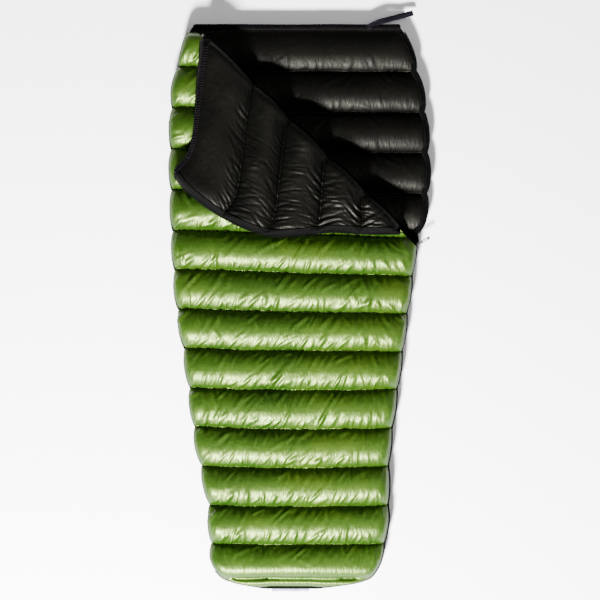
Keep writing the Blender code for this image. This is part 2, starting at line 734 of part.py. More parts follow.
def foot_path(first_y, step, last_y):
    """The zip's edge: down the zip side from first_y, round the foot, up the closed side to last_y."""
    path = []
    straight_low, straight_high = STRAIGHT_ZIP[0][0] * LENGTH, STRAIGHT_ZIP[1][0] * LENGTH
    y = first_y
    while y > 0.03:
        path.append(Vector((zip_x(y), y)))
        if straight_low < y <= straight_high:
            y = straight_low
        elif y > straight_high:
            y = max(y - step, straight_high)
        else:
            y -= step if y > 0.12 else 0.5 * step
    corner = [0.03, 0.018, 0.010, 0.004]
    path += [Vector((zip_x(v), v)) for v in corner if v < path[-1].y - 0.004]
    path += [Vector((zip_x(0.0), 0.0)), Vector((closed_x(0.0), 0.0))]
    path += [Vector((closed_x(v), v)) for v in reversed(corner)]
    if last_y > 0.04:
        path.append(Vector((closed_x(last_y), last_y)))
    return path


def add_tape(name, path, z_low, parent):
    """Zip tape: a flat strip along an edge, partly inside it."""
    inner = shifted_path(path, -TAPE_INSIDE)
    outer = shifted_path(path, TAPE_OUTSIDE)

    def place(side, index):
        point = outer[index] if side else inner[index]
        return Vector((point.x, point.y, z_low))

    add_sheet(name, (0, 1), range(len(path)), place, TAPE, "zip_tape", parent)


def coil_line(path):
    """The middle of the coil that runs beside an edge."""
    return shifted_path(path, COIL_OUT)


def add_coil(name, path, z, parent):
    """Zip coil: the line of teeth beside the tape's edge."""
    add_wire(name, [(p.x, p.y, z) for p in coil_line(path)], COIL_RADIUS, 1, "zip_coil", parent)


def add_stop(name, path, z, parent):
    """An end stop, just past the first point of a coil."""
    first, second = path[:2]
    out = (first - second).normalized()
    place = first + out * (STOP[1] / 2 + CLEAR)
    yaw = math.atan2(out.y, out.x) - math.pi / 2
    add_box(name, STOP, (place.x, place.y, z), "nickel", parent, yaw, 0.0, 0.0006)


def make_zip(bottom, top, flap):
    """Tapes, coils and end stops."""
    top_coil_z = BOTTOM_COIL_Z + 2 * COIL_RADIUS + COIL_GAP
    whole = foot_path(PANEL_END - 0.030, ZIP_STEP, ZIP_LAST_Y)
    shut = foot_path(SLIDER_Y + 0.006, ZIP_STEP, ZIP_LAST_Y)
    add_tape("bottom_zip_tape", whole, BOTTOM_COIL_Z - 0.0010, bottom)
    add_coil("bottom_zip_coil", whole, BOTTOM_COIL_Z, bottom)
    add_stop("bottom_zip_stop", coil_line(whole), BOTTOM_COIL_Z, bottom)
    add_tape("top_zip_tape", shut, top_coil_z + 0.0010 - TAPE, top)
    add_coil("top_zip_coil", shut, top_coil_z, top)
    count = 18
    first, last = FLAP_CHAIN
    free = [polyline_at(FLAP_ZIP_POINTS, last - (last - first) * i / (count - 1)) for i in range(count)]
    add_tape("flap_zip_tape", free, FLAP_COIL_Z - 0.0008, flap)
    add_coil("flap_zip_coil", free, FLAP_COIL_Z, flap)
    add_stop("flap_zip_stop", coil_line(free)[::-1], FLAP_COIL_Z, flap)


def make_slider(slider):
    """The slider, which holds both coils from outside, with the arch that carries the pull."""
    centre = offset_of(slider)
    face = SLIDER_DEPTH - COIL_RADIUS - SLIDER_GRIP
    body = add_box(
        "zip_slider", (SLIDER_DEPTH, SLIDER_LENGTH, SLIDER_HEIGHT),
        centre + Vector((face - SLIDER_DEPTH / 2, 0.0, 0.0)), "nickel", slider, 0.0, 0.0, SLIDER_BEVEL,
    )
    chain_height = 4 * COIL_RADIUS + COIL_GAP
    cavity = (
        SLIDER_DEPTH,
        SLIDER_LENGTH * 2,
        chain_height + 2 * SLIDER_CLEAR,
    )
    right_wall = COIL_RADIUS + SLIDER_CLEAR
    cut = add_box(
        "slider_channel", cavity, centre + Vector((right_wall - cavity[0] / 2, 0.0, 0.0)), "nickel", slider,
    )
    add_boolean(body, cut, "DIFFERENCE")
    reach = Vector((math.cos(PULL_YAW), math.sin(PULL_YAW), 0.0))
    start = centre + Vector((face, 0.0, 0.0))
    points = [start - reach * ARCH_ROOT - Vector((0.0, 0.0, ARCH_RADIUS))]
    for i in range(ARCH_STEPS + 1):
        turn = -math.pi / 2 + math.pi * i / ARCH_STEPS
        out = ARCH_LEG + ARCH_RADIUS * math.cos(turn)
        points.append(start + reach * out + Vector((0.0, 0.0, ARCH_RADIUS * math.sin(turn))))
    points.append(start - reach * ARCH_ROOT + Vector((0.0, 0.0, ARCH_RADIUS)))
    arch = mesh_of_curve(add_wire("slider_arch", points, ARCH_WIRE, 1, "nickel", slider))
    add_boolean(body, arch, "UNION")
    return start + reach * ARCH_LEG


def make_pull(pull):
    """The long pull: a flat bar with an eye round the arch and a slot along its middle."""
    tail = PULL_LENGTH - EYE_LENGTH
    half, eye_half = PULL_WIDTH / 2, EYE_WIDTH / 2 + EYE_BAR
    outline = [(-EYE_BAR / 2, -eye_half), (EYE_LENGTH, -eye_half), (EYE_LENGTH + 0.003, -half)]
    steps = 6
    for i in range(steps + 1):
        turn = -math.pi / 2 + math.pi * i / steps
        outline.append((EYE_LENGTH + tail - half + half * math.cos(turn), half * math.sin(turn)))
    outline += [(EYE_LENGTH + 0.003, half), (EYE_LENGTH, eye_half), (-EYE_BAR / 2, eye_half)]
    base = offset_of(pull)
    plate = add_plate("pull_plate", [(x + base.x, y + base.y) for x, y in outline], PULL_THICK,
                      base.z - PULL_THICK / 2, "nickel", pull)
    body = mesh_of_curve(plate)
    body.name = "zip_pull"
    eye = (EYE_LENGTH - EYE_BAR, EYE_WIDTH, PULL_THICK * 3)
    cut = add_box("pull_eye", eye, base + Vector((EYE_BAR / 2 + eye[0] / 2, 0, 0)), "nickel", pull)
    add_boolean(body, cut, "DIFFERENCE")
    slot = (PULL_SLOT_LENGTH, PULL_SLOT_WIDTH, PULL_THICK * 3)
    middle = EYE_LENGTH + 0.006 + PULL_SLOT_LENGTH / 2
    cut = add_box("pull_slot", slot, base + Vector((middle, 0, 0)), "nickel", pull)
    add_boolean(body, cut, "DIFFERENCE")


# ---------------------------------------------------------------- bindings, cord, tab, label

def add_binding(name, path, edge_low, edge_high, reach, inside, parent):
    """A strip folded round an edge: its section is a U, open towards the panel."""
    low = edge_low - CLEAR
    high = edge_high + CLEAR + HEM_THICK
    section = [(-inside, high), (reach - HEM_BEND, high), (reach, high - HEM_BEND)]
    section += [(reach, low + HEM_BEND_LOW), (reach - HEM_BEND, low - HEM_THICK), (-inside, low - HEM_THICK)]
    lines = [shifted_path(path, out) for out, _ in section]

    def place(step, index):
        point = lines[step][index]
        return Vector((point.x, point.y, section[step][1]))

    add_sheet(name, range(len(section)), range(len(path)), place, HEM_THICK, "hem_binding", parent)


def make_hems(bottom, flap):
    """The bottom panel's head binding, and the gathered one with its cord on the folded corner."""
    count = 12
    left, right = closed_x(PANEL_END) + 0.004, zip_x(PANEL_END) - 0.004
    path = [Vector((left + (right - left) * i / (count - 1), PANEL_END)) for i in range(count)]
    low, high = BOTTOM_EDGE_SHELL, BOTTOM_EDGE_LINING + FABRIC
    add_binding("bottom_head_hem", path, low, high, HEM_REACH, HEM_LEG, bottom)
    steps = 13
    edge = [flap_point(0.0, FLAP_HEM_FROM + FLAP_HEM_SHARE * i / steps) for i in range(steps + 1)]
    if (edge[-1] - edge[0]).y < 0:
        edge.reverse()
    low, high = FLAP_BASE, FLAP_EDGE_LINING + FABRIC
    add_binding("flap_head_hem", edge, low, high, FLAP_HEM_REACH, FLAP_HEM_LEG, flap)
    cord_line = shifted_path(edge, FLAP_HEM_REACH - HEM_THICK - CORD_RADIUS - 0.0012)
    middle = (low + high) / 2
    along = (cord_line[-1] - cord_line[-2]).normalized()
    tail = cord_line[-1] + along * 0.014
    points = [(p.x, p.y, middle) for p in cord_line] + [(tail.x, tail.y, middle + 0.002)]
    cord = mesh_of_curve(add_wire("hem_drawcord", points, CORD_RADIUS, 1, "cord_braid", flap))
    mesh = bmesh.new()
    bmesh.ops.create_uvsphere(mesh, u_segments=8, v_segments=6, radius=KNOT_RADIUS)
    data = bpy.data.meshes.new("cord_knot")
    mesh.to_mesh(data)
    mesh.free()
    knot = add_object("cord_knot", data, "cord_braid", flap)
    knot.location = Vector((tail.x, tail.y, middle + 0.003)) - offset_of(flap)
    add_boolean(cord, knot, "UNION")


def tab_start():
    """Where the closure tab's base begins, on the head binding."""
    return Vector((TAB_START[0] * WIDTH / PATTERN_WIDTH, LENGTH - TAB_START[1]))


def make_tab(bottom, tab):
    """The closure tab: a base sewn on the head binding, the free strap, and the hook patch under it."""
    top_of_hem = BOTTOM_EDGE_LINING + FABRIC + CLEAR + 2 * HEM_THICK + CLEAR
    start = tab_start()
    run = Vector((math.cos(TAB_YAW_BASE), math.sin(TAB_YAW_BASE)))
    middle = start + run * (TAB_BASE_LENGTH / 2)
    size = (TAB_BASE_LENGTH, TAB_WIDTH * TAB_BASE_SHARE, TAB_THICK)
    place = (middle.x, middle.y, top_of_hem + TAB_THICK / 2)
    add_box("closure_tab_base", size, place, "webbing", bottom, TAB_YAW_BASE, 0.0, CLOTH_BEVEL)
    hinge = offset_of(tab)
    level = math.cos(TAB_DROP)
    reach = Vector((math.cos(TAB_YAW) * level, math.sin(TAB_YAW) * level, -math.sin(TAB_DROP)))
    centre = hinge + reach * (TAB_LENGTH / 2 + TAB_HINGE_GAP)
    size = (TAB_LENGTH, TAB_WIDTH, TAB_THICK)
    add_box("closure_tab_strap", size, centre, "webbing", tab, TAB_YAW, TAB_DROP, CLOTH_BEVEL)
    normal = Vector((0, 0, 1)) - reach * reach.z
    normal.normalize()
    under = TAB_THICK / 2 + CLEAR + HOOK_THICK / 2
    patch = hinge + reach * (TAB_LENGTH - HOOK_LENGTH / 2) - normal * under
    size = (HOOK_LENGTH, TAB_WIDTH * HOOK_SHARE, HOOK_THICK)
    add_box("tab_hook_patch", size, patch, "hook_patch", tab, TAB_YAW, TAB_DROP)


def tab_hinge_place():
    """Where the strap leaves its base."""
    start = tab_start()
    run = Vector((math.cos(TAB_YAW_BASE), math.sin(TAB_YAW_BASE)))
    end = start + run * (TAB_BASE_LENGTH + TAB_BASE_GAP)
    z = BOTTOM_EDGE_LINING + FABRIC + 2 * CLEAR + 2 * HEM_THICK + TAB_THICK / 2
    return Vector((end.x, end.y, z))


def make_label(bottom):
    """The blank label strip at the foot edge, and the small folded tab below it."""
    z = BOTTOM_EDGE_LINING + FABRIC + CLEAR
    place = (LABEL_X, LABEL[1] / 2 + LABEL_INSET, z + LABEL[2] / 2)
    add_box("foot_label", LABEL, place, "label_satin", bottom)
    tab_z = BOTTOM_EDGE_SHELL - CLEAR - FOOT_TAB[2] / 2
    place = (LABEL_X + FOOT_TAB_SHIFT, FOOT_TAB_Y, tab_z)
    add_box("foot_tab", FOOT_TAB, place, "tab_satin", bottom, 0.0, 0.0, CLOTH_BEVEL)


# ---------------------------------------------------------------- assembly

def edge_arrays():
    """The free edges of each panel as polylines, for the loft."""
    count = 90
    heights = [PANEL_END * (i / count) ** 1.5 for i in range(count + 1)]
    closed = np.array([(closed_x(y), y) for y in heights])
    zipped = np.array([(zip_x(y), y) for y in heights])
    foot = np.array([closed[0], zipped[0]])
    head = np.array([closed[-1], zipped[-1]])
    below = np.array([(zip_x(y), y) for y in heights if y <= FOLD_SIDE_Y - 0.004])
    hem = np.array([tuple(flap_point(0.0, i / 12)) for i in range(13)])
    free = np.array([tuple(flap_point(i / 24, 1.0)) for i in range(25)])
    tip = np.array([tuple(flap_point(1.0, i / 4)) for i in range(1, 5)])
    return [closed, zipped, foot, head], [closed, below, foot], [hem, free, tip]


def settle_origin(frame):
    """Put the frame so that the middle of the model's footprint is at the origin."""
    bpy.context.view_layer.update()
    graph = bpy.context.evaluated_depsgraph_get()
    low, high = np.full(3, np.inf), np.full(3, -np.inf)
    for obj in PARTS.objects:
        if obj.type in ("MESH", "CURVE"):
            shape = obj.evaluated_get(graph)
            data = shape.to_mesh()
            points = np.array([tuple(obj.matrix_world @ v.co) for v in data.vertices])
            shape.to_mesh_clear()
            low, high = np.minimum(low, points.min(0)), np.maximum(high, points.max(0))
    middle = (low + high) / 2
    frame.location = (-middle[0], -middle[1], -low[2])


clear_scene()
PARTS = new_collection("camp_quilt")
GUIDES = new_collection("guides")
FINISH = make_materials()
PANEL_END = LENGTH - HEM_REACH
SEAMS = seam_positions()
FOLD_A, FOLD_B = from_head(FOLD_HEAD), from_head(FOLD_SIDE)
FOLD_DIR = (FOLD_B - FOLD_A).normalized()
FOLD_UP = Vector((-FOLD_DIR.y, FOLD_DIR.x))
FOLD_SIDE_Y = FOLD_B.y
TOP_END = FOLD_A.y
SLIDER_Y = STRAIGHT_ZIP[1][0] * LENGTH - 0.012
FLAP_HEM_POINTS = [from_head(p) for p in FLAP_HEM]
FLAP_ZIP_POINTS = [from_head(p) for p in FLAP_ZIP]
BOTTOM_EDGES, TOP_EDGES, FLAP_EDGES = edge_arrays()

frame = add_empty("quilt_frame", (0.0, 0.0, 0.0))
bottom_frame = add_empty("bottom_frame", (0.0, 0.0, 0.0), frame)
side_x = min(closed_x(y) - SIDE_SLOPE * y for y in np.linspace(0.0, LENGTH, 97)) - SIDE_CLEAR
side_hinge = add_empty("side_hinge", (side_x + SIDE_SLOPE * LENGTH / 2, LENGTH / 2, HINGE_Z), frame)
fold_hinge = add_empty("fold_hinge", (*((FOLD_A + FOLD_B) / 2), FOLD_Z), side_hinge)
slider_run = [Vector((zip_x(y), y)) for y in (SLIDER_Y, SLIDER_Y - 0.05)]
slider_at = coil_line(slider_run)[0]
slider_dir = slider_run[0] - slider_run[1]
slider_yaw = math.atan2(slider_dir.y, slider_dir.x) - math.pi / 2
CHAIN_Z = BOTTOM_COIL_Z + COIL_RADIUS + COIL_GAP / 2

make_panels(bottom_frame, side_hinge)
make_flap_sheets(fold_hinge)
make_gusset(bottom_frame)
make_row_fills("bottom", zip_x, LENGTH, BOTTOM_FILL, bottom_frame)
make_row_fills("top", top_right, TOP_END - FILL_MARGIN, TOP_FILL, side_hinge)
make_flap_fills(fold_hinge)
wall_base = highest_facet() + FABRIC + FACET_CLEAR
wall_height = wall_top(BOTTOM_SEAM_LIFT + FABRIC, BOTTOM_LINING_SEAM)
make_row_baffles("bottom_baffles", zip_x, LENGTH, wall_base, wall_height, bottom_frame)
wall_base = TOP_LINING + FABRIC + WALL_CLEAR
wall_height = wall_top(TOP_LINING + FABRIC, TOP_SHELL_SEAM)
make_row_baffles("top_baffles", top_right, TOP_END, wall_base, wall_height, side_hinge)
make_flap_baffles(fold_hinge)
make_zip(bottom_frame, side_hinge, fold_hinge)
slider_hinge = add_empty("slider_track", (slider_at.x, slider_at.y, CHAIN_Z), bottom_frame)
pull_place = make_slider(slider_hinge)
pull_hinge = add_empty("pull_hinge", pull_place, slider_hinge)
make_pull(pull_hinge)
slider_hinge.rotation_euler = (0.0, 0.0, slider_yaw)
pull_hinge.rotation_euler = (0.0, 0.0, PULL_YAW)
make_hems(bottom_frame, fold_hinge)
tab_hinge = add_empty("tab_hinge", tab_hinge_place(), bottom_frame)
make_tab(bottom_frame, tab_hinge)
make_label(bottom_frame)
settle_origin(frame)
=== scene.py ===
"""The camp quilt's looks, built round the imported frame."""

import json
import math

import bmesh
import bpy
import numpy as np
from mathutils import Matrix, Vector
from mathutils.bvhtree import BVHTree


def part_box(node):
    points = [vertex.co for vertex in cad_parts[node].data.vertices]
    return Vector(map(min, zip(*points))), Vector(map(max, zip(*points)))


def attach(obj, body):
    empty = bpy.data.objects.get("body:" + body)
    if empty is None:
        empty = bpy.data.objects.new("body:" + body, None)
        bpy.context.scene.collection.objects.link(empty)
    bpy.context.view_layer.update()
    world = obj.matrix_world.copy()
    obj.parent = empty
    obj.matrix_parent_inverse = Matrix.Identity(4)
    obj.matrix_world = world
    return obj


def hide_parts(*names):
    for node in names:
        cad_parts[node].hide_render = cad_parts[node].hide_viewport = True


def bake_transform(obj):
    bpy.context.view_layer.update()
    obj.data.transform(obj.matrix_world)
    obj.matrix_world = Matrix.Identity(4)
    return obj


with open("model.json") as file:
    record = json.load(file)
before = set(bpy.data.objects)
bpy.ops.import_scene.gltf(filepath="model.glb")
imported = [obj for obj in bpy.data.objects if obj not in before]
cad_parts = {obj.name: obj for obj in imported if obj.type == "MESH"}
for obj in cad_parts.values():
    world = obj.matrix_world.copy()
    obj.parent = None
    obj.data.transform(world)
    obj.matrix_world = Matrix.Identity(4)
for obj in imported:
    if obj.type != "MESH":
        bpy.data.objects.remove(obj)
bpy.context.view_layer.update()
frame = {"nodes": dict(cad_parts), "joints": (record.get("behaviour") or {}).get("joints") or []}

# Mesh density
CELL = 0.0042
SIM_FRAMES = 20

# Heights in the row frame, from the CAD solids
HEAD_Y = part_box("bottom_head_hem")[1].y
FOOT_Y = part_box("bottom_lining")[0].y
TOP_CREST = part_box("top_shell")[1].z
TOP_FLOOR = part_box("top_lining")[0].z
TOP_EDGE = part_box("top_shell")[0].z
LINING_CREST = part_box("bottom_lining")[1].z
LINING_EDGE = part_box("bottom_lining")[0].z
SHELL_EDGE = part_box("bottom_shell")[1].z
FLAP_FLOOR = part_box("flap_shell")[0].z
FLAP_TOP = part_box("flap_lining")[1].z
FLAP_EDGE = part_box("flap_lining")[0].z
TOP_SEAM = TOP_CREST - 0.033
LINING_SEAM = LINING_CREST - 0.016


# ---------------------------------------------------------------- numbers and curves

def smooth(t):
    """0 to 1 with flat ends."""
    t = np.clip(t, 0.0, 1.0)
    return t * t * (3 - 2 * t)


def monotone(keys, values, at):
    """The monotone cubic through some values."""
    keys, values = np.asarray(keys, float), np.asarray(values, float)
    at = np.clip(np.asarray(at, float), keys[0], keys[-1])
    slopes = np.diff(values) / np.diff(keys)
    tangents = np.zeros(len(keys))
    tangents[0], tangents[-1] = slopes[0], slopes[-1]
    product = slopes[:-1] * slopes[1:]
    total = slopes[:-1] + slopes[1:]
    tangents[1:-1] = np.where(product > 0, 2 * product / np.where(total == 0, 1, total), 0)
    i = np.clip(np.searchsorted(keys, at, side="right") - 1, 0, len(keys) - 2)
    span = keys[i + 1] - keys[i]
    t = (at - keys[i]) / span
    first = (1 + 2 * t) * (1 - t) ** 2 * values[i] + t * (1 - t) ** 2 * span * tangents[i]
    return first + t * t * (3 - 2 * t) * values[i + 1] + t * t * (t - 1) * span * tangents[i + 1]


def resample_axis(points, at):
    """Catmull-Rom resampling of a grid along its first axis, at fractional row numbers."""
    rows = len(points)
    i = np.clip(at.astype(int), 0, rows - 2)
    t = (at - i).reshape(-1, *([1] * (points.ndim - 1)))
    a, b = points[np.maximum(i - 1, 0)], points[i]
    c, d = points[i + 1], points[np.minimum(i + 2, rows - 1)]
    return b + 0.5 * t * (c - a + t * (2 * a - 5 * b + 4 * c - d + t * (3 * (b - c) + d - a)))


def resample(points, rows, columns, new_rows, new_columns):
    """A grid known at some row and column coordinates, read at others."""
    tall = resample_axis(points, np.interp(new_rows, rows, np.arange(len(rows))))
    wide = resample_axis(np.swapaxes(tall, 0, 1), np.interp(new_columns, columns, np.arange(len(columns))))
    return np.swapaxes(wide, 0, 1)


def smooth_noise(seed, x, y, size, detail=1):
    """Smooth value noise in -1 to 1 over arrays x and y."""
    total = np.zeros(np.broadcast(x, y).shape)
    strength, reach = 1.0, 0.0
    for octave in range(detail):
        table = np.random.default_rng(seed + 17 * octave).uniform(-1, 1, (64, 64))
        u, v = x / size * 2 ** octave + 31.7, y / size * 2 ** octave + 17.3
        i, j = np.floor(u).astype(int), np.floor(v).astype(int)
        a, b = smooth(u - i), smooth(v - j)
        p, q = table[i % 64, j % 64], table[(i + 1) % 64, j % 64]
        r, s = table[i % 64, (j + 1) % 64], table[(i + 1) % 64, (j + 1) % 64]
        total += strength * ((p * (1 - a) + q * a) * (1 - b) + (r * (1 - a) + s * a) * b)
        reach += strength
        strength *= 0.5
    return total / reach


def normals_of(points):
    """Unit normals of a grid of points."""
    along = np.gradient(points, axis=1)
    up = np.gradient(points, axis=0)
    n = np.cross(along, up)
    return n / np.maximum(np.linalg.norm(n, axis=2, keepdims=True), 1e-9)


def tube(share):
    """The puffed section of a chamber."""
    return np.sin(np.pi * np.clip(share, 0, 1)) ** 0.62


# ---------------------------------------------------------------- outline and seams, read from the frame

def side_rows(node):
    """The closed and the zip side of a full-width CAD sheet, as rows of (y, low x, high x)."""
    points = np.array([tuple(v.co) for v in frame["nodes"][node].data.vertices])
    points = points[np.argsort(points[:, 1])]
    groups = np.split(points, np.nonzero(np.diff(points[:, 1]) > 0.004)[0] + 1)
    return np.array([(g[:, 1].mean(), g[:, 0].min(), g[:, 0].max()) for g in groups])


ROWS = side_rows("bottom_lining")


def fill_seams(prefix, count):
    """Y of the seams between the bodies of down, from the foot up."""
    boxes = [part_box(f"{prefix}_fill_{i:02d}") for i in range(count, 0, -1)]
    return [(low[1].y + high[0].y) / 2 for low, high in zip(boxes[:-1], boxes[1:])]


SEAMS = np.array([FOOT_Y] + fill_seams("bottom", 14) + [HEAD_Y - 0.005])
FOLD = next(j for j in frame["joints"] if j["child"] == "folded_corner")
FOLD_AT, FOLD_AXIS = np.array(FOLD["pos_m"]), -np.array(FOLD["axis"])
FOLD_OUT = np.array((-FOLD_AXIS[1], FOLD_AXIS[0], 0.0))


def closed_x(y):
    """X of the closed side."""
    return monotone(ROWS[:, 0], ROWS[:, 1], y)


def zip_x(y):
    """X of the zip side."""
    return monotone(ROWS[:, 0], ROWS[:, 2], y)


def fold_x(y):
    """X of the fold's crest."""
    return FOLD_AT[0] + FOLD_AXIS[0] / FOLD_AXIS[1] * (y - FOLD_AT[1])


FOLD_SIDE_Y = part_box("top_zip_coil")[1].y + 0.008
TOP_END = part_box("top_shell")[1].y


def seam_tilt(x, y):
    """How far a seam has slid towards the foot on the zip side: more near the fold."""
    return -0.045 * x * smooth((y - SEAMS[5]) / (SEAMS[10] - SEAMS[5])) - 0.006 * x


# ---------------------------------------------------------------- mesh building

def mesh_object(name, vertices, faces, material, body=None):
    """A mesh object from arrays, shaded smooth, riding on a body."""
    data = bpy.data.meshes.new(name)
    data.from_pydata([tuple(v) for v in np.asarray(vertices, float)], [], [tuple(f) for f in faces])
    data.polygons.foreach_set("use_smooth", [True] * len(data.polygons))
    obj = bpy.data.objects.new(name, data)
    bpy.context.scene.collection.objects.link(obj)
    if material:
        data.materials.append(material)
    data.update()
    if body:
        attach(obj, body)
    return obj


def grid_faces(rows, columns, around=False):
    """Quads of a grid; around joins the last column to the first."""
    index = np.arange(rows * columns).reshape(rows, columns)
    if around:
        index = np.concatenate([index, index[:, :1]], axis=1)
    return np.stack([index[:-1, :-1], index[:-1, 1:], index[1:, 1:], index[1:, :-1]], axis=-1).reshape(-1, 4)


def grid_object(name, points, material, body=None):
    """An object from a grid of points."""
    rows, columns = points.shape[:2]
    return mesh_object(name, points.reshape(-1, 3), grid_faces(rows, columns), material, body)


def arc_lengths(points):
    """Distances along each column of a grid, from its first row."""
    steps = np.linalg.norm(np.diff(points[..., 1:], axis=0), axis=2)
    return np.concatenate([np.zeros((1, points.shape[1])), np.cumsum(steps, axis=0)])


def drape(name, start, rest, pinned, pressure, cap):
    """How far cloth simulation moves a fabric grid from its start, with the lengths of its rest points."""
    rows, columns = start.shape[:2]
    obj = grid_object(name, start, None)
    obj.shape_key_add(name="Basis")
    key = obj.shape_key_add(name="rest")
    key.data.foreach_set("co", rest.reshape(-1))
    group = obj.vertex_groups.new(name="pin")
    group.add([int(i) for i in np.nonzero(pinned.reshape(-1))[0]], 1.0, "REPLACE")
    cloth = obj.modifiers.new("cloth", "CLOTH")
    settings = cloth.settings
    settings.quality = 4
    settings.mass = 0.15
    settings.tension_stiffness = settings.compression_stiffness = 12
    settings.shear_stiffness = 6
    settings.bending_stiffness = 0.06
    settings.tension_damping = settings.compression_damping = settings.shear_damping = 6
    settings.bending_damping = 0.5
    settings.air_damping = 2
    settings.vertex_group_mass = "pin"
    settings.rest_shape_key = key
    settings.use_pressure = True
    settings.uniform_pressure_force = pressure
    settings.effector_weights.gravity = 0
    cloth.collision_settings.use_collision = False
    cloth.point_cache.frame_start, cloth.point_cache.frame_end = 1, SIM_FRAMES
    scene = bpy.context.scene
    for step in range(1, SIM_FRAMES + 1):
        scene.frame_set(step)
    evaluated = obj.evaluated_get(bpy.context.evaluated_depsgraph_get())
    flat = np.empty(rows * columns * 3)
    evaluated.data.vertices.foreach_get("co", flat)
    moved = flat.reshape(rows, columns, 3) - start
    bpy.data.objects.remove(obj, do_unlink=True)
    scene.frame_set(1)
    length = np.linalg.norm(moved, axis=2, keepdims=True)
    return moved * np.minimum(1.0, cap / np.maximum(length, 1e-9))


def creases(points, marks):
    """Push a grid along its normals by straight creases: (centre, direction, length, width, depth)."""
    normals = normals_of(points)
    push = np.zeros(points.shape[:2])
    flat = points[..., :2]
    row_y = flat[..., 1].mean(axis=1)
    for centre, direction, length, width, depth in marks:
        rows = np.nonzero(np.abs(row_y - centre[1]) < 0.75 * length + 0.03)[0]
        if not len(rows):
            continue
        part = slice(rows[0], rows[-1] + 1)
        offset = flat[part] - centre
        along = offset @ direction
        across = offset @ np.array((-direction[1], direction[0]))
        across = across + 0.10 * along * along / length
        fade = np.exp(-((along / (0.5 * length)) ** 4))
        ridge = (1 - (across / width) ** 2) * np.exp(-0.5 * (across / width) ** 2)
        push[part] += depth * fade * ridge
    return points + normals * push[..., None]


def seam_puckers(seams, seed, pitch, lean, length, width, depth):
    """Creases that fan from the seams of a full-width panel."""
    random = np.random.default_rng(seed)
    marks = []
    for seam in seams:
        left, right = closed_x(seam), zip_x(seam)
        for side in (1, -1):
            x = left + 0.02
            while x < right - 0.02:
                size = length * random.uniform(0.45, 1.5)
                tilt = lean(x) + random.normal(0, 0.30)
                direction = np.array((math.sin(tilt), math.cos(tilt)))
                y = seam + seam_tilt(x, seam) + side * size * random.uniform(0.30, 0.55)
                marks.append((np.array((x, y)), direction, size, width * random.uniform(0.6, 1.5),
                              depth * random.uniform(0.35, 1.25)))
                x += pitch * random.uniform(0.4, 1.9)
    return marks


# ---------------------------------------------------------------- materials

def new_material(name):
    """A material with its Principled shader and its node tree."""
    material = bpy.data.materials.new(name)
    material.use_nodes = True
    return material, material.node_tree, material.node_tree.nodes["Principled BSDF"]


def add_node(tree, kind, **values):
    """A node with its input values or settings set by name."""
    node = tree.nodes.new(kind)
    for key, value in values.items():
        name = key.replace("_", " ")
        if name in node.inputs:
            node.inputs[name].default_value = value
        else:
            setattr(node, key, value)
    return node


def scaled(tree, x, y, z, turn=0.0):
    """Object coordinates, stretched."""
    place = tree.nodes.new("ShaderNodeTexCoord")
    mapping = add_node(tree, "ShaderNodeMapping")
    mapping.inputs["Scale"].default_value = (x, y, z)
    mapping.inputs["Rotation"].default_value = (0, 0, turn)
    tree.links.new(place.outputs["Object"], mapping.inputs["Vector"])
    return mapping.outputs["Vector"]


def noise(tree, vector, scale, detail=2.0, rough=0.5):
    """A noise texture's value."""
    node = add_node(tree, "ShaderNodeTexNoise", Scale=scale, Detail=detail, Roughness=rough)
    tree.links.new(vector, node.inputs["Vector"])
    return node.outputs["Fac"]


def ramp(tree, value, stops):
    """A colour ramp over a value."""
    node = tree.nodes.new("ShaderNodeValToRGB")
    while len(node.color_ramp.elements) < len(stops):
        node.color_ramp.elements.new(0.5)
    for element, (position, colour) in zip(node.color_ramp.elements, stops):
        element.position = position
        element.color = (*colour, 1.0) if len(colour) == 3 else (colour[0],) * 3 + (1.0,)
    tree.links.new(value, node.inputs["Fac"])
    return node.outputs["Color"]


def math_node(tree, operation, a, b):
    """A math node of two values, either of which may be a number."""
    node = add_node(tree, "ShaderNodeMath", operation=operation)
    for socket, value in zip(node.inputs, (a, b)):
        if isinstance(value, (int, float)):
            socket.default_value = value
        else:
            tree.links.new(value, socket)
    return node.outputs["Value"]


def mix_colour(tree, share, a, b, blend="MIX"):
    """Two colours mixed by a share."""
    node = add_node(tree, "ShaderNodeMix", data_type="RGBA", blend_type=blend)
    for socket, value in ((node.inputs[0], share), (node.inputs[6], a), (node.inputs[7], b)):
        if isinstance(value, (tuple, float)):
            socket.default_value = value
        else:
            tree.links.new(value, socket)
    return node.outputs[2]


def bump(tree, heights, shader):
    """Bumps of (value, strength, distance) laid one on another."""
    last = None
    for value, strength, distance in heights:
        node = add_node(tree, "ShaderNodeBump", Strength=strength, Distance=distance)
        tree.links.new(value, node.inputs["Height"])
        if last:
            tree.links.new(last, node.inputs["Normal"])
        last = node.outputs["Normal"]
    tree.links.new(last, shader.inputs["Normal"])


def set_finish(shader, roughness, specular, metal=0.0):
    """Constant values, set on the shader's own sockets."""
    shader.inputs["Roughness"].default_value = roughness
    shader.inputs["Specular IOR Level"].default_value = specular
    shader.inputs["Metallic"].default_value = metal


EDGE_GLOSS = 0.03  # of the full gloss, where the cloth faces sideways


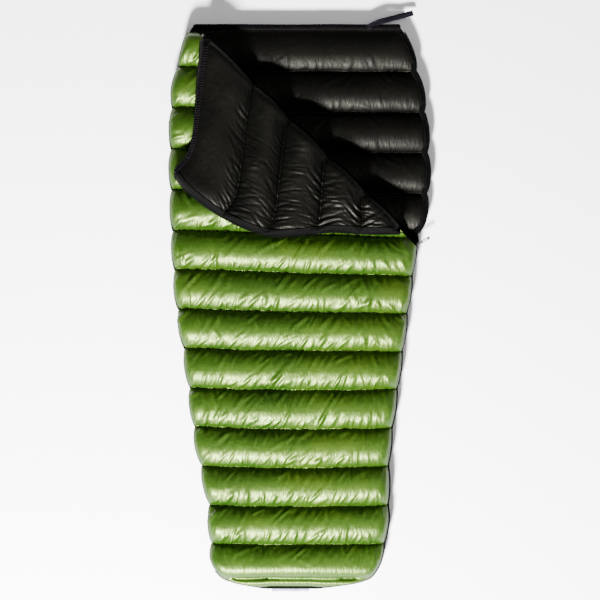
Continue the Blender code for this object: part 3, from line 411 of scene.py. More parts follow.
def nylon(name, dark, light, warm, roughness, specular, tint, crumple=1.0):
    """Calendered down-proof nylon: a fine ripstop weave, soft creases and uneven dye."""
    material, tree, shader = new_material(name)
    set_finish(shader, roughness, specular)
    shader.inputs["Specular Tint"].default_value = (*tint, 1.0)
    facing = tree.nodes.new("ShaderNodeSeparateXYZ")
    tree.links.new(tree.nodes.new("ShaderNodeTexCoord").outputs["Normal"], facing.inputs["Vector"])
    gloss = ramp(tree, facing.outputs["Z"], ((0.45, (EDGE_GLOSS * specular,)), (0.84, (specular,))))
    tree.links.new(gloss, shader.inputs["Specular IOR Level"])
    plain = scaled(tree, 1, 1, 1)
    wide = noise(tree, plain, 5.5, 3.0, 0.55)
    fine = noise(tree, scaled(tree, 1, 2.2, 1), 42.0, 3.0, 0.6)
    tone = ramp(tree, wide, ((0.30, dark), (0.52, light), (0.75, warm)))
    mottled = mix_colour(tree, 0.22, tone, ramp(tree, fine, ((0.3, (0.55,)), (0.7, (1.0,)))), "MULTIPLY")
    tree.links.new(mottled, shader.inputs["Base Color"])
    rough = ramp(tree, fine, ((0.25, (roughness * 0.82,)), (0.75, (roughness * 1.18,))))
    tree.links.new(rough, shader.inputs["Roughness"])
    warp = add_node(tree, "ShaderNodeTexWave", Scale=240.0, Distortion=0.6)
    warp.bands_direction = "X"
    weft = add_node(tree, "ShaderNodeTexWave", Scale=240.0, Distortion=0.6)
    weft.bands_direction = "Y"
    for wave in (warp, weft):
        tree.links.new(plain, wave.inputs["Vector"])
    weave = math_node(tree, "ADD", warp.outputs["Fac"], weft.outputs["Fac"])
    pucker_a = noise(tree, scaled(tree, 2.6, 0.8, 1, 0.30), 46.0, 2.0, 0.5)
    pucker_b = noise(tree, scaled(tree, 2.4, 0.9, 1, -0.45), 62.0, 2.0, 0.5)
    puckers = ((pucker_a, 0.35 * crumple, 0.0035), (pucker_b, 0.30 * crumple, 0.0025))
    bump(tree, ((weave, 0.10, 0.0002), *puckers), shader)
    return material


WOVEN_SPECULAR = 0.02


def woven(name, dark, light, roughness, scale, depth=0.0004, ribs=(1, 1)):
    """A coarser woven tape, ribbon or cord."""
    material, tree, shader = new_material(name)
    set_finish(shader, roughness, WOVEN_SPECULAR)
    plain = scaled(tree, 1, 1, 1)
    tone = noise(tree, plain, 60.0, 3.0, 0.6)
    tree.links.new(ramp(tree, tone, ((0.3, dark), (0.7, light))), shader.inputs["Base Color"])
    rows = []
    for direction, share in zip("XY", ribs):
        wave = add_node(tree, "ShaderNodeTexWave", Scale=scale * share, Distortion=0.4)
        wave.bands_direction = direction
        tree.links.new(plain, wave.inputs["Vector"])
        rows.append(wave.outputs["Fac"])
    bump(tree, ((math_node(tree, "MULTIPLY", *rows), 0.6, depth), (tone, 0.25, depth)), shader)
    tree.links.new(ramp(tree, tone, ((0.2, (roughness * 0.85,)), (0.8, (roughness * 1.1,)))),
                   shader.inputs["Roughness"])
    return material


def metal(name, colour, roughness):
    """Plated metal with fine wear."""
    material, tree, shader = new_material(name)
    set_finish(shader, roughness, 0.5, metal=1.0)
    grain = noise(tree, scaled(tree, 1, 6, 1), 700.0, 4.0, 0.7)
    worn = noise(tree, scaled(tree, 1, 1, 1), 160.0, 3.0, 0.6)
    tone = ramp(tree, worn, ((0.35, tuple(0.72 * c for c in colour)), (0.6, colour)))
    tree.links.new(tone, shader.inputs["Base Color"])
    rough = ramp(tree, worn, ((0.3, (roughness * 1.5,)), (0.6, (roughness,))))
    tree.links.new(rough, shader.inputs["Roughness"])
    bump(tree, ((grain, 0.15, 0.0001),), shader)
    return material


SHELL = nylon("shell_nylon", (0.0044, 0.0175, 0.0009), (0.0084, 0.0255, 0.0013), (0.0155, 0.0340, 0.0018),
              0.40, 0.60, (0.72, 1.0, 0.26))
LINING = nylon("lining_nylon", (0.0005, 0.0005, 0.0004), (0.0008, 0.0008, 0.0006), (0.0013, 0.0011, 0.0009),
               0.46, 0.065, (1.0, 0.97, 0.84), 0.8)
BINDING = woven("hem_binding", (0.0007, 0.0005, 0.0007), (0.0020, 0.0015, 0.0020), 0.50, 420.0)
TAPE = woven("zip_tape", (0.0006, 0.0006, 0.0006), (0.0014, 0.0013, 0.0014), 0.62, 520.0)
COIL = woven("zip_coil", (0.003, 0.003, 0.003), (0.009, 0.009, 0.010), 0.36, 900.0, 0.0001)
NICKEL = metal("nickel", (0.060, 0.060, 0.064), 0.30)
WEBBING = woven("webbing", (0.0030, 0.0022, 0.0038), (0.0070, 0.0055, 0.0085), 0.62, 380.0, 0.0006, (1, 2))
HOOK = woven("hook_patch", (0.008, 0.008, 0.009), (0.020, 0.020, 0.021), 0.85, 640.0, 0.0008)
BRAID = woven("cord_braid", (0.012, 0.012, 0.012), (0.030, 0.030, 0.028), 0.70, 700.0, 0.0004)
SATIN = woven("label_satin", (0.22, 0.20, 0.30), (0.30, 0.28, 0.38), 0.42, 800.0, 0.0002)
TAB_SATIN = woven("tab_satin", (0.22, 0.13, 0.15), (0.30, 0.19, 0.21), 0.45, 800.0, 0.0002)
DARK_THREAD = woven("dark_thread", (0.014, 0.010, 0.006), (0.028, 0.020, 0.012), 0.60, 1200.0, 0.0002)


# ---------------------------------------------------------------- panels

EDGE_RISE = 0.046
TUBE_ROWS = 30
FOOT_BAND, FOOT_PUFF = 0.034, 0.016
LABEL_SHOWN = 0.004


def tube_rows(first, last, per_tube=TUBE_ROWS):
    """Chamber coordinates of a panel's rows: chamber number plus share, closer together at the seams."""
    rows = [first]
    for index in range(int(first), int(math.ceil(last - 1e-9))):
        k = np.arange(1, per_tube + 1) / per_tube
        share = 0.55 * k + 0.45 * (1 - np.cos(np.pi * k)) / 2
        rows += [index + s for s in share if first < index + s <= last]
    return np.array(rows)


def row_y(rows):
    """Y of chamber coordinates."""
    index = np.clip(rows.astype(int), 0, len(SEAMS) - 2)
    return SEAMS[index] + (rows - index) * (SEAMS[index + 1] - SEAMS[index])


def columns_of(cell, rise=EDGE_RISE, width=0.80):
    """Shares across a row, closer together at both edges."""
    steps = max(5, round(rise * 1.25 / cell))
    near = rise * (1 - np.cos(np.linspace(0, np.pi / 2, steps))) / width
    inner = np.linspace(near[-1], 1 - near[-1], round((width - 2 * rise) / cell))
    return np.concatenate([near[:-1], inner, 1 - near[:-1][::-1]])


def rise_of(distance, reach):
    """A quarter ellipse from 0 at an edge to 1."""
    t = np.clip(distance / reach, 0, 1)
    return (1 - (1 - t) ** 2.5) ** (1 / 2.5)


def scallop(distance, share, bulge, notch):
    """How far an edge stands out between seams and pulls in at them."""
    puff = np.sin(np.pi * np.clip(share, 0, 1)) ** 0.55
    return ((bulge + notch) * puff - notch) * np.exp(-((distance / 0.045) ** 2))


def chamber_height(index, seed, spread):
    """A slightly different fullness for each chamber."""
    return 1 + spread * np.random.default_rng(seed).uniform(-1, 1, 64)[index]


def panel(rows, columns, right_of, seam, crest, edge, tilt, bulges, seed, skew=0.0, loft=1.0):
    """A quilted panel's upper cloth over the whole width, as a grid."""
    y0 = row_y(rows)[:, None] + 0 * columns[None, :]
    left, right = closed_x(y0[:, 0])[:, None], right_of(y0[:, 0])[:, None]
    x = left + (right - left) * columns[None, :]
    share = (rows - np.minimum(rows.astype(int), len(SEAMS) - 2))[:, None]
    index = np.minimum(rows.astype(int), len(SEAMS) - 2)[:, None] + 0 * x.astype(int)
    share = share + 0 * x
    from_left, from_right = x - left, right - x
    from_foot = y0 - FOOT_Y
    near = np.minimum(np.minimum(from_left, from_right), from_foot + 0.002)
    lean = np.clip(share + skew * np.sin(np.pi * share), 0, 1)
    wave = 0.10 * smooth_noise(seed + 1, x, y0, 0.16, 2)
    full = chamber_height(index, seed + 2, 0.07) * (1 + wave)
    height = seam + (crest - seam) * loft * tube(lean) * full
    rise = rise_of(near, EDGE_RISE)
    z = edge + (height - edge) * rise
    x = x - scallop(from_left, share, *bulges[:2]) + scallop(from_right, share, *bulges[2:])
    y = y0 + (tilt(x, y0) if tilt else 0.0) * smooth(from_foot / 0.25)
    wander = 0.0030 * smooth_noise(seed + 5, x, y0, 0.07, 2)
    return np.stack([x, y + wander, z], axis=2)


def tuck(points, sides, inside, down):
    """Turn a grid's edges in under it: sides from 'lrbt', each as one more row or column."""
    left, right, bottom, top = ("l" in sides), ("r" in sides), ("b" in sides), ("t" in sides)
    if left:
        turned = points[:, :1] + np.array((inside, 0, -down))
        points = np.concatenate([turned, points], axis=1)
    if right:
        turned = points[:, -1:] + np.array((-inside, 0, -down))
        points = np.concatenate([points, turned], axis=1)
    if bottom:
        turned = points[:1] + np.array((0, inside, -down))
        points = np.concatenate([turned, points], axis=0)
    if top:
        turned = points[-1:] + np.array((0, -inside, -down))
        points = np.concatenate([points, turned], axis=0)
    return points


def cut(obj, point, normal):
    """Remove what lies on the normal's side of a plane."""
    mesh = bmesh.new()
    mesh.from_mesh(obj.data)
    bmesh.ops.bisect_plane(mesh, geom=list(mesh.verts) + list(mesh.edges) + list(mesh.faces), dist=1e-5,
                           plane_co=point, plane_no=normal, clear_outer=True)
    mesh.to_mesh(obj.data)
    mesh.free()
    obj.data.polygons.foreach_set("use_smooth", [True] * len(obj.data.polygons))
    obj.data.update()


def top_tilt(x, y):
    """How the top panel's seams run: lower towards the zip side near the fold, and bowed near the foot."""
    high = smooth((y - SEAMS[3]) / (SEAMS[9] - SEAMS[3]))
    return -0.034 * x * high - 0.007 * (1 - high) * np.clip(1 - (x / 0.30) ** 2, -0.3, 1)


def lean_of(x):
    """The slant of the creases: one way over the left and the middle, the other way towards the zip side."""
    return 0.55 - 1.15 * smooth((x - 0.12) / 0.28)


# Top panel: shell, then lining
top_last = 13 + (TOP_END - SEAMS[13]) / (SEAMS[14] - SEAMS[13])
top_rows, top_columns = tube_rows(0.0, top_last), columns_of(CELL)
TOP_EDGES = (0.007, 0.007, 0.003, 0.004)
SIM_LOFT, SIM_EXTRA = 0.82, 1.045
SIM_PRESSURE, SIM_CAP = 4.0, 0.022
SEAM_Z, CREST_Z = TOP_SEAM - 0.018, TOP_CREST - 0.002
sim_rows, sim_columns = tube_rows(0.0, top_last, 20), columns_of(0.0065)
slack = panel(sim_rows, sim_columns, zip_x, SEAM_Z, CREST_Z, TOP_EDGE, top_tilt,
              TOP_EDGES, 11, skew=0.05, loft=SIM_LOFT)
full = panel(sim_rows, sim_columns, zip_x, SEAM_Z, CREST_Z, TOP_EDGE, top_tilt,
             TOP_EDGES, 11, skew=0.05)
flat = np.stack([slack[..., 0] * SIM_EXTRA, arc_lengths(full) * 1.01, 0 * slack[..., 2]], axis=2)
held = np.zeros(slack.shape[:2], bool)
held[:, :2] = held[:, -2:] = held[:2] = held[-2:] = True
held[abs(sim_rows - np.round(sim_rows)) < 1e-6] = True
top = panel(top_rows, top_columns, zip_x, SEAM_Z, CREST_Z, TOP_EDGE, top_tilt,
            TOP_EDGES, 11, skew=0.05, loft=SIM_LOFT)
swelling = drape("top_sim", slack, flat, held, SIM_PRESSURE, SIM_CAP)
top = top + resample(swelling, sim_rows, sim_columns, top_rows, top_columns)
marks = seam_puckers(SEAMS[1:14], 5, 0.020, lean_of, 0.050, 0.0060, 0.0026)
random = np.random.default_rng(77)
for number in range(0, 13):
    for _ in range(2 + number // 3):
        y = SEAMS[number] + random.uniform(0.25, 0.75) * (SEAMS[number + 1] - SEAMS[number])
        x = random.uniform(closed_x(y) + 0.06, zip_x(y) - 0.06)
        tilt = lean_of(x) * 1.25 + random.normal(0, 0.45)
        size = random.uniform(0.050, 0.120)
        marks.append((np.array((x, y + seam_tilt(x, y))), np.array((math.sin(tilt), math.cos(tilt))), size,
                      random.uniform(0.006, 0.010), random.uniform(0.0008, 0.0008 + 0.00018 * number)))
top = creases(top, marks)
band = top[..., 1] - FOOT_Y
notch_z = TOP_EDGE + 0.008
band_puff = FOOT_PUFF * np.sin(np.pi * np.clip(band / FOOT_BAND, 0, 1)) ** 0.7
band_z = TOP_EDGE + band_puff + (notch_z - TOP_EDGE) * smooth(band / FOOT_BAND)
above = notch_z + (top[..., 2] - notch_z) * rise_of(band - FOOT_BAND, 0.050)
side_rise = rise_of(np.minimum(top[..., 0] - closed_x(top[..., 1]), zip_x(top[..., 1]) - top[..., 0]), 0.03)
in_band = TOP_EDGE + (band_z - TOP_EDGE) * side_rise
top[..., 2] = np.where(band < FOOT_BAND, in_band, np.minimum(above, top[..., 2]))
label_low, label_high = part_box("foot_label")
from_label = abs(top[..., 0] - (label_low.x + label_high.x) / 2)
beside = np.maximum(from_label - (label_high.x - label_low.x) / 2, 0)
top[..., 1] += LABEL_SHOWN * np.exp(-((beside / 0.030) ** 2)) * np.exp(-((np.maximum(band, 0) / 0.030) ** 2))
head_drop = rise_of(TOP_END - row_y(top_rows), 0.040)[:, None]
top[..., 2] = TOP_EDGE + (top[..., 2] - TOP_EDGE) * head_drop
top = tuck(top, "lrbt", 0.004, 0.002)
shell = grid_object("top_shell_cloth", top, SHELL)
FOLD_CUT = FOLD_AT - 0.016 * FOLD_OUT
cut(shell, FOLD_CUT, FOLD_OUT)
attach(shell, "top_quilt")
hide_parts("top_shell", "top_baffles", *[f"top_fill_{i:02d}" for i in range(1, 15)])


def lining_under(rows, columns, seam, crest, seed):
    """The downward face of the top panel."""
    points = panel(rows, columns, zip_x, 0.0, 1.0, 0.0, None, (0.004, 0.006, 0.002, 0.003), seed)
    depth = points[..., 2]
    points[..., 2] = seam + (crest - seam) * np.clip(depth, 0, 1)
    return points


lining_rows = tube_rows(0.0, top_last, 16)
under = lining_under(lining_rows, columns_of(0.008), TOP_FLOOR + 0.0045, TOP_FLOOR - 0.0005, 21)
inner = grid_object("top_lining_cloth", under[::-1], LINING)
cut(inner, FOLD_CUT, FOLD_OUT)
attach(inner, "top_quilt")
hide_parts("top_lining")


# ---------------------------------------------------------------- folded corner

FOLD_HEAD, FOLD_SIDE = np.array((-0.315, 0.044)), np.array((0.388, 0.730))
FLAP_HEM = ((-0.315, 0.044), (-0.321, 0.103), (-0.336, 0.200), (-0.350, 0.360), (-0.366, 0.450),
            (-0.428, 0.516))
FLAP_ZIP = ((-0.428, 0.516), (-0.395, 0.563), (-0.300, 0.640), (-0.200, 0.695), (-0.100, 0.728),
            (0.010, 0.722), (0.100, 0.708), (0.220, 0.718), (0.350, 0.716))
FLAP_SEAMS = np.array((0.0, 0.260, 0.440, 0.635, 0.825, 1.0))
FLAP_END, RIDGE_IN = 0.94, 0.034
SHIFT = FOLD_AT[0] - (FOLD_HEAD[0] + FOLD_SIDE[0]) / 2


def from_head(point):
    """A point in metres from the head edge, in the row frame."""
    return np.array((point[0] + SHIFT, HEAD_Y - point[1]))


def smooth_line(points, shares):
    """Points at shares of a polyline's length, its corners cut twice."""
    points = np.array(points, float)
    for _ in range(3):
        low, high = points[:-1], points[1:]
        middle = np.stack([0.75 * low + 0.25 * high, 0.25 * low + 0.75 * high], axis=1)
        points = np.concatenate([points[:1], middle.reshape(-1, points.shape[1]), points[-1:]])
    along = np.concatenate([[0], np.cumsum(np.linalg.norm(np.diff(points, axis=0), axis=1))])
    at = shares * along[-1]
    return np.stack([np.interp(at, along, points[:, k]) for k in range(points.shape[1])], axis=-1)


HEM_POINTS = [from_head(p) for p in FLAP_HEM]
ZIP_POINTS = [from_head(p) for p in FLAP_ZIP]
FOLD_A, FOLD_B = from_head(FOLD_HEAD), from_head(FOLD_SIDE)
FOLD_UP = FOLD_OUT[:2]


def flap_place(along, down, inset):
    """The folded corner's points in plan; down runs from a line inset from the fold to the free edges."""
    ridge_a = FOLD_A - FOLD_UP * inset
    ridge_b = FOLD_A + (FOLD_B - FOLD_A) * FLAP_END - FOLD_UP * inset
    corner, end = HEM_POINTS[-1], ZIP_POINTS[-1]
    a, d = along[None, :, None], down[:, None, None]
    hem = smooth_line(HEM_POINTS, down)[:, None] + (ridge_a - HEM_POINTS[0]) * (1 - d)
    free = smooth_line(ZIP_POINTS, along)[None, :]
    ridge = ridge_a * (1 - a) + ridge_b * a
    last = ridge_b * (1 - d) + end * d
    flat = (ridge_a * (1 - a) + ridge_b * a) * (1 - d) + (corner * (1 - a) + end * a) * d
    return ridge * (1 - d) + free * d + hem * (1 - a) + last * a - flat


def flap_shares(count):
    """Shares along the fold, closer together at the seams and at both ends."""
    marks = [0.0]
    for low, high in zip(FLAP_SEAMS[:-1], FLAP_SEAMS[1:]):
        n = max(6, round(count * (high - low)))
        k = np.arange(1, n + 1) / n
        marks += list(low + (high - low) * (0.55 * k + 0.45 * (1 - np.cos(np.pi * k)) / 2))
    return np.array(marks)


def flap_puff(along):
    """The puffed section of the folded corner's chambers."""
    index = np.clip(np.searchsorted(FLAP_SEAMS, along, side="right") - 1, 0, len(FLAP_SEAMS) - 2)
    share = (along - FLAP_SEAMS[index]) / (FLAP_SEAMS[index + 1] - FLAP_SEAMS[index])
    return index, tube(share)


FLAP_ACROSS, FLAP_DOWN = 190, 118
along = flap_shares(FLAP_ACROSS)
down = 1 - (1 - np.cos(np.linspace(0, np.pi / 2, FLAP_DOWN))) * 0.35 - np.linspace(0, 1, FLAP_DOWN) * 0.65
down = (down - down[-1])[::-1] / (down[0] - down[-1])
plan = flap_place(along, down, RIDGE_IN)
index, puff = flap_puff(along)
fullness = np.array((0.80, 1.0, 1.0, 0.95, 0.75))[index]
to_hem = np.linalg.norm(plan - plan[:, :1], axis=2)
to_free = np.linalg.norm(plan - plan[-1:], axis=2)
to_end = np.linalg.norm(plan - plan[:, -1:], axis=2)
edge_gap = np.minimum(np.minimum(to_hem, to_free), to_end * 1.5)
crest = FLAP_TOP - 0.003
valley = FLAP_EDGE + 0.010
height = valley + (crest - valley) * (puff * fullness)[None, :]
uneven = 0.06 * smooth_noise(71, plan[..., 0], plan[..., 1], 0.12, 2)
height = height * (1 + uneven * (height - FLAP_EDGE) / 0.04)
flap_z = FLAP_EDGE + (height - FLAP_EDGE) * rise_of(edge_gap, 0.050)
flap_grid = np.concatenate([plan, flap_z[..., None]], axis=2)

# Creases that arch from each seam of the folded corner
random = np.random.default_rng(33)
marks = []
for seam in FLAP_SEAMS[1:-1]:
    column = int(np.argmin(abs(along - seam)))
    for side in (-1, 1):
        for row in range(8, FLAP_DOWN - 4):
            if random.uniform() > 0.50 * smooth((row - 4) / 40):
                continue
            spot = plan[row, column]
            neighbour = plan[row, min(max(column + side * 12, 0), len(along) - 1)]
            out = (neighbour - spot) / np.linalg.norm(neighbour - spot)
            toe = plan[min(row + 3, FLAP_DOWN - 1), column] - spot
            toe = toe / np.linalg.norm(toe)
            direction = out - toe * random.uniform(0.15, 0.85)
            direction /= np.linalg.norm(direction)
            size = random.uniform(0.025, 0.100)
            marks.append((spot + direction * size * random.uniform(0.35, 0.60), direction, size,
                          random.uniform(0.0028, 0.0060), random.uniform(0.0003, 0.0013)))


def flap_creases(points, marks):
    """Creases on a grid whose rows aren't level, found by their distance."""
    normals = normals_of(points)
    flat, push = points[..., :2].reshape(-1, 2), np.zeros(points.shape[0] * points.shape[1])
    for centre, direction, length, width, depth in marks:
        offset = flat - centre
        near = np.nonzero((abs(offset[:, 0]) < length) & (abs(offset[:, 1]) < length))[0]
        offset = offset[near]
        run = offset @ direction
        across = offset @ np.array((-direction[1], direction[0])) + 0.5 * run * run / length * 0.4
        push[near] += depth * np.exp(-((run / (0.5 * length)) ** 4)) * (1 - (across / width) ** 2) * np.exp(
            -0.5 * (across / width) ** 2)
    return points + normals * push.reshape(points.shape[:2])[..., None]


flap_grid = flap_creases(flap_grid, marks)

# Ridge: from under the top panel round the fold to the top of the folded corner
RIDGE_STEPS = 22
turn = np.linspace(-np.pi / 2, np.pi / 2, RIDGE_STEPS)[:-1]
floor_z = TOP_FLOOR + 0.0005
ridge_top = flap_grid[0]
reach = RIDGE_IN - 0.006 + 0.010 * puff * (0.6 + 0.4 * fullness)
ridge = np.zeros((len(turn), len(along), 3))
middle_z, half_z = (ridge_top[:, 2] + floor_z) / 2, (ridge_top[:, 2] - floor_z) / 2
for k, angle in enumerate(turn):
    out = np.cos(angle) ** 0.85 * reach
    ridge[k, :, :2] = ridge_top[:, :2] + FOLD_UP * out[:, None]
    ridge[k, :, 2] = middle_z + half_z * np.sin(angle)
across_fold = np.linspace(0, 1, len(along))[None, :]
pinch = 0.0012 * smooth_noise(91, across_fold, turn[:, None] * 0.02, 0.022, 3)
ridge[..., :2] += FOLD_UP * (pinch * np.cos(turn)[:, None] ** 0.5)[..., None]
lining_all = np.concatenate([ridge, flap_grid], axis=0)
lining_all = np.concatenate([lining_all, lining_all[-1:] + np.array((0, 0, -0.0015))], axis=0)
corner = grid_object("corner_lining_cloth", lining_all[:, ::-1], LINING)
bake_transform(corner)
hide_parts("flap_lining", "flap_baffles", *[f"flap_fill_{i:02d}" for i in range(1, 5)])

# Underside of the folded corner, and the strip of shell inside the fold
base_plan = flap_place(along[::2], down[::2], 0.020)
_, base_puff = flap_puff(along[::2])
base_gap = np.minimum(np.linalg.norm(base_plan - base_plan[:, :1], axis=2),
                      np.linalg.norm(base_plan - base_plan[-1:], axis=2))
base_z = FLAP_FLOOR + 0.0016 - 0.0030 * base_puff[None, :] * rise_of(base_gap, 0.04)
base = grid_object("corner_shell_cloth", np.concatenate([base_plan, base_z[..., None]], axis=2), SHELL,
                   "folded_corner")
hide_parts("flap_shell")
strip = []
for k in np.linspace(0, 1, 11):
    u = -0.0165 - 0.0035 * k + 0.010 * math.sin(math.pi * k)
    z = TOP_CREST - 0.012 + (FLAP_FLOOR + 0.0016 - TOP_CREST + 0.012) * k
    line = FOLD_A + (FOLD_B - FOLD_A) * (along[::2, None] * FLAP_END) + FOLD_UP * u
    strip.append(np.concatenate([line, np.full((len(line), 1), z)], axis=1))
strip = np.array(strip)
top_sampled = TOP_EDGE + (TOP_CREST - TOP_EDGE - 0.006) * rise_of(
    np.minimum(along[::2] * 0.98, (1 - along[::2]) * 0.9 + 0.01), 0.05)
strip[0, :, 2] = top_sampled
for k in range(1, 10):
    strip[k, :, 2] = strip[0, :, 2] + (strip[10, :, 2] - strip[0, :, 2]) * k / 10
fold_strip = grid_object("fold_shell_strip", strip, SHELL)
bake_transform(fold_strip)


# ---------------------------------------------------------------- bottom panel

def mouth(x, y):
    """1 in the open mouth, past the fold, and 0 under the top panel."""
    return smooth(((x - fold_x(y)) * FOLD_OUT[0] - 0.010) / 0.080)


low_rows, low_columns = tube_rows(0.0, 14.0, 26), columns_of(0.0055)
open_share = smooth((row_y(low_rows) - FOLD_SIDE_Y + 0.02) / 0.10)[:, None]
bottom = panel(low_rows, low_columns, zip_x, LINING_SEAM - 0.012, LINING_CREST - 0.0015, LINING_EDGE, None,
               (0.006, 0.007, 0.003 + 0.005 * open_share, 0.004 + 0.002 * open_share), 41, skew=0.06)
lift = mouth(bottom[..., 0], bottom[..., 1])
share = (low_rows - np.minimum(low_rows.astype(int), 13))[:, None]
side_gap = np.minimum(bottom[..., 0] - closed_x(bottom[..., 1]), zip_x(bottom[..., 1]) - bottom[..., 0])
bottom[..., 2] += 0.010 * lift * tube(share) * rise_of(side_gap, 0.05)
head_gap = HEAD_Y - 0.020 - bottom[..., 1]
bottom[..., 2] = LINING_EDGE + (bottom[..., 2] - LINING_EDGE) * rise_of(head_gap, 0.045)
marks = seam_puckers(SEAMS[8:14], 15, 0.030, lambda x: 0.5 - 1.0 * (x > 0.2), 0.050, 0.0060, 0.0012)
bottom = creases(bottom, marks)
bottom = tuck(bottom, "lrb", 0.004, 0.001)
mat = grid_object("bottom_lining_cloth", bottom, LINING, "bottom_quilt")
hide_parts("bottom_lining", "bottom_baffles", *[f"bottom_fill_{i:02d}" for i in range(1, 15)])

base_rows, base_columns = tube_rows(0.0, 14.0, 16), columns_of(0.0085, 0.06)
floor = panel(base_rows, base_columns, zip_x, 0.0, 1.0, 0.0, None, (0.006, 0.008, 0.003, 0.005), 51)
share = (base_rows - np.minimum(base_rows.astype(int), 13))[:, None]
gap = np.minimum(np.minimum(floor[..., 0] - closed_x(floor[..., 1]), zip_x(floor[..., 1]) - floor[..., 0]),
                 np.minimum(floor[..., 1] - FOOT_Y, HEAD_Y - 0.004 - floor[..., 1]))
flat_part = rise_of(gap + 0.004, 0.060)
raised = 0.012 * (1 - np.clip(tube(share) * 1.25, 0, 1))
floor[..., 2] = (SHELL_EDGE - 0.0002) * (1 - flat_part) + flat_part * raised
under_shell = grid_object("bottom_shell_cloth", floor[::-1], SHELL, "bottom_quilt")
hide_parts("bottom_shell")


# ---------------------------------------------------------------- edges: tapes, coils, hems and small parts

class Surface:
    """Heights of a cloth, found by looking straight down at it."""

    def __init__(self, obj):
        faces = [tuple(p.vertices) for p in obj.data.polygons]
        self.tree = BVHTree.FromPolygons([v.co for v in obj.data.vertices], faces)

    def __call__(self, x, y, default):
        hit = self.tree.ray_cast(Vector((x, y, 1.0)), Vector((0, 0, -1)))
        return hit[0].z if hit[0] else default


def sideways(path):
    """Unit vectors to the left of a plan path."""
    step = np.gradient(path[:, :2], axis=0)
    step /= np.maximum(np.linalg.norm(step, axis=1, keepdims=True), 1e-9)
    return np.stack([-step[:, 1], step[:, 0]], axis=1)


def even(path, pitch):
    """A path resampled at an even pitch."""
    path = np.asarray(path, float)
    along = np.concatenate([[0], np.cumsum(np.linalg.norm(np.diff(path, axis=0), axis=1))])
    at = np.linspace(0, along[-1], max(2, round(along[-1] / pitch) + 1))
    return np.stack([np.interp(at, along, path[:, k]) for k in range(path.shape[1])], axis=1)


def shell_of(points, thickness):
    """Both faces of a ribbon grid and its edges, as vertices and faces."""
    rows, columns = points.shape[:2]
    lower = points - normals_of(points) * thickness
    vertices = np.concatenate([points.reshape(-1, 3), lower.reshape(-1, 3)])
    faces = [tuple(f) for f in grid_faces(rows, columns)]
    count = rows * columns
    faces += [tuple(count + v for v in reversed(f)) for f in grid_faces(rows, columns)]
    index = np.arange(count).reshape(rows, columns)
    ring = np.concatenate([index[0], index[1:, -1], index[-1, -2::-1], index[-2:0:-1, 0]])
    for a, b in zip(ring, np.roll(ring, -1)):
        faces.append((b, a, a + count, b + count))
    return vertices, faces


def ribbon(name, path, offsets, heights, material, body, thickness=0.0006):
    """A thin band along a plan path; heights(i, x, y, offset) gives its upper face."""
    left = sideways(path)
    points = np.zeros((len(path), len(offsets), 3))
    for i, (spot, side) in enumerate(zip(path, left)):
        for j, offset in enumerate(offsets):
            x, y = spot[:2] + side * offset
            points[i, j] = (x, y, heights(i, x, y, offset))
    vertices, faces = shell_of(points[:, ::-1], thickness)
    return mesh_object(name, vertices, faces, material, body)


ROLL_SIDES = 18


def roll(name, path, width, height, body, gather, pitch, seed, end):
    """A soft binding of elliptical section along a path of 3-D points, gathered along its length."""
    sides = ROLL_SIDES
    path = np.asarray(path, float)
    left = sideways(path)
    random = np.random.default_rng(seed)
    length = np.concatenate([[0], np.cumsum(np.linalg.norm(np.diff(path, axis=0), axis=1))])
    phase = np.cumsum(random.uniform(0.5, 1.5, len(path)) * np.gradient(length)) * 2 * np.pi / pitch
    rings = []
    for i, (spot, side) in enumerate(zip(path, left)):
        share = min(i, len(path) - 1 - i) / 3.0
        taper = end + (1 - end) * min(1.0, share)
        ring = []
        for k in range(sides):
            angle = 2 * math.pi * k / sides
            swell = taper * (1 + gather * math.sin(phase[i] + 1.3 * math.sin(angle)))
            across, up = math.cos(angle) * width * swell, math.sin(angle) * height * swell
            ring.append((spot[0] + side[0] * across, spot[1] + side[1] * across, spot[2] + up))
        rings.append(ring)
    rings = np.array(rings)
    faces = [tuple(f) for f in grid_faces(len(path), sides, around=True)]
    faces += [tuple(range(sides - 1, -1, -1)), tuple(range((len(path) - 1) * sides, len(path) * sides))]
    return mesh_object(name, rings.reshape(-1, 3), faces, BINDING, body)


# Coil zip: half its width and height, the pitch of its turns and its wire's radius
COIL_ACROSS, COIL_HIGH, COIL_PITCH, COIL_WIRE, COIL_TURN = 0.0016, 0.0011, 0.0022, 0.00036, 7


def helix(name, path, body):
    """The spring-like chain of a coil zip along a path of 3-D points."""
    centre = even(path, COIL_PITCH / COIL_TURN)
    left = sideways(centre)
    angle = np.arange(len(centre)) * 2 * np.pi / COIL_TURN
    line = centre.copy()
    line[:, :2] += left * (np.cos(angle) * COIL_ACROSS)[:, None]
    line[:, 2] += np.sin(angle) * COIL_HIGH
    step = np.gradient(line, axis=0)
    step /= np.linalg.norm(step, axis=1, keepdims=True)
    out = line - centre
    out -= step * (out * step).sum(1, keepdims=True)
    out /= np.maximum(np.linalg.norm(out, axis=1, keepdims=True), 1e-9)
    third = np.cross(step, out)
    ring = [line + COIL_WIRE * (out * math.cos(a) + third * math.sin(a)) for a in (0.0, 2.094, 4.189)]
    points = np.stack(ring, axis=1)
    faces = [tuple(f) for f in grid_faces(len(line), 3, around=True)]
    faces += [(2, 1, 0), tuple(range((len(line) - 1) * 3, len(line) * 3))]
    return mesh_object(name, points.reshape(-1, 3), faces, COIL, body)


STITCH, STITCH_GAP, STITCH_THICK, STITCH_LIFT = 0.0030, 0.0016, 0.00035, 0.0003


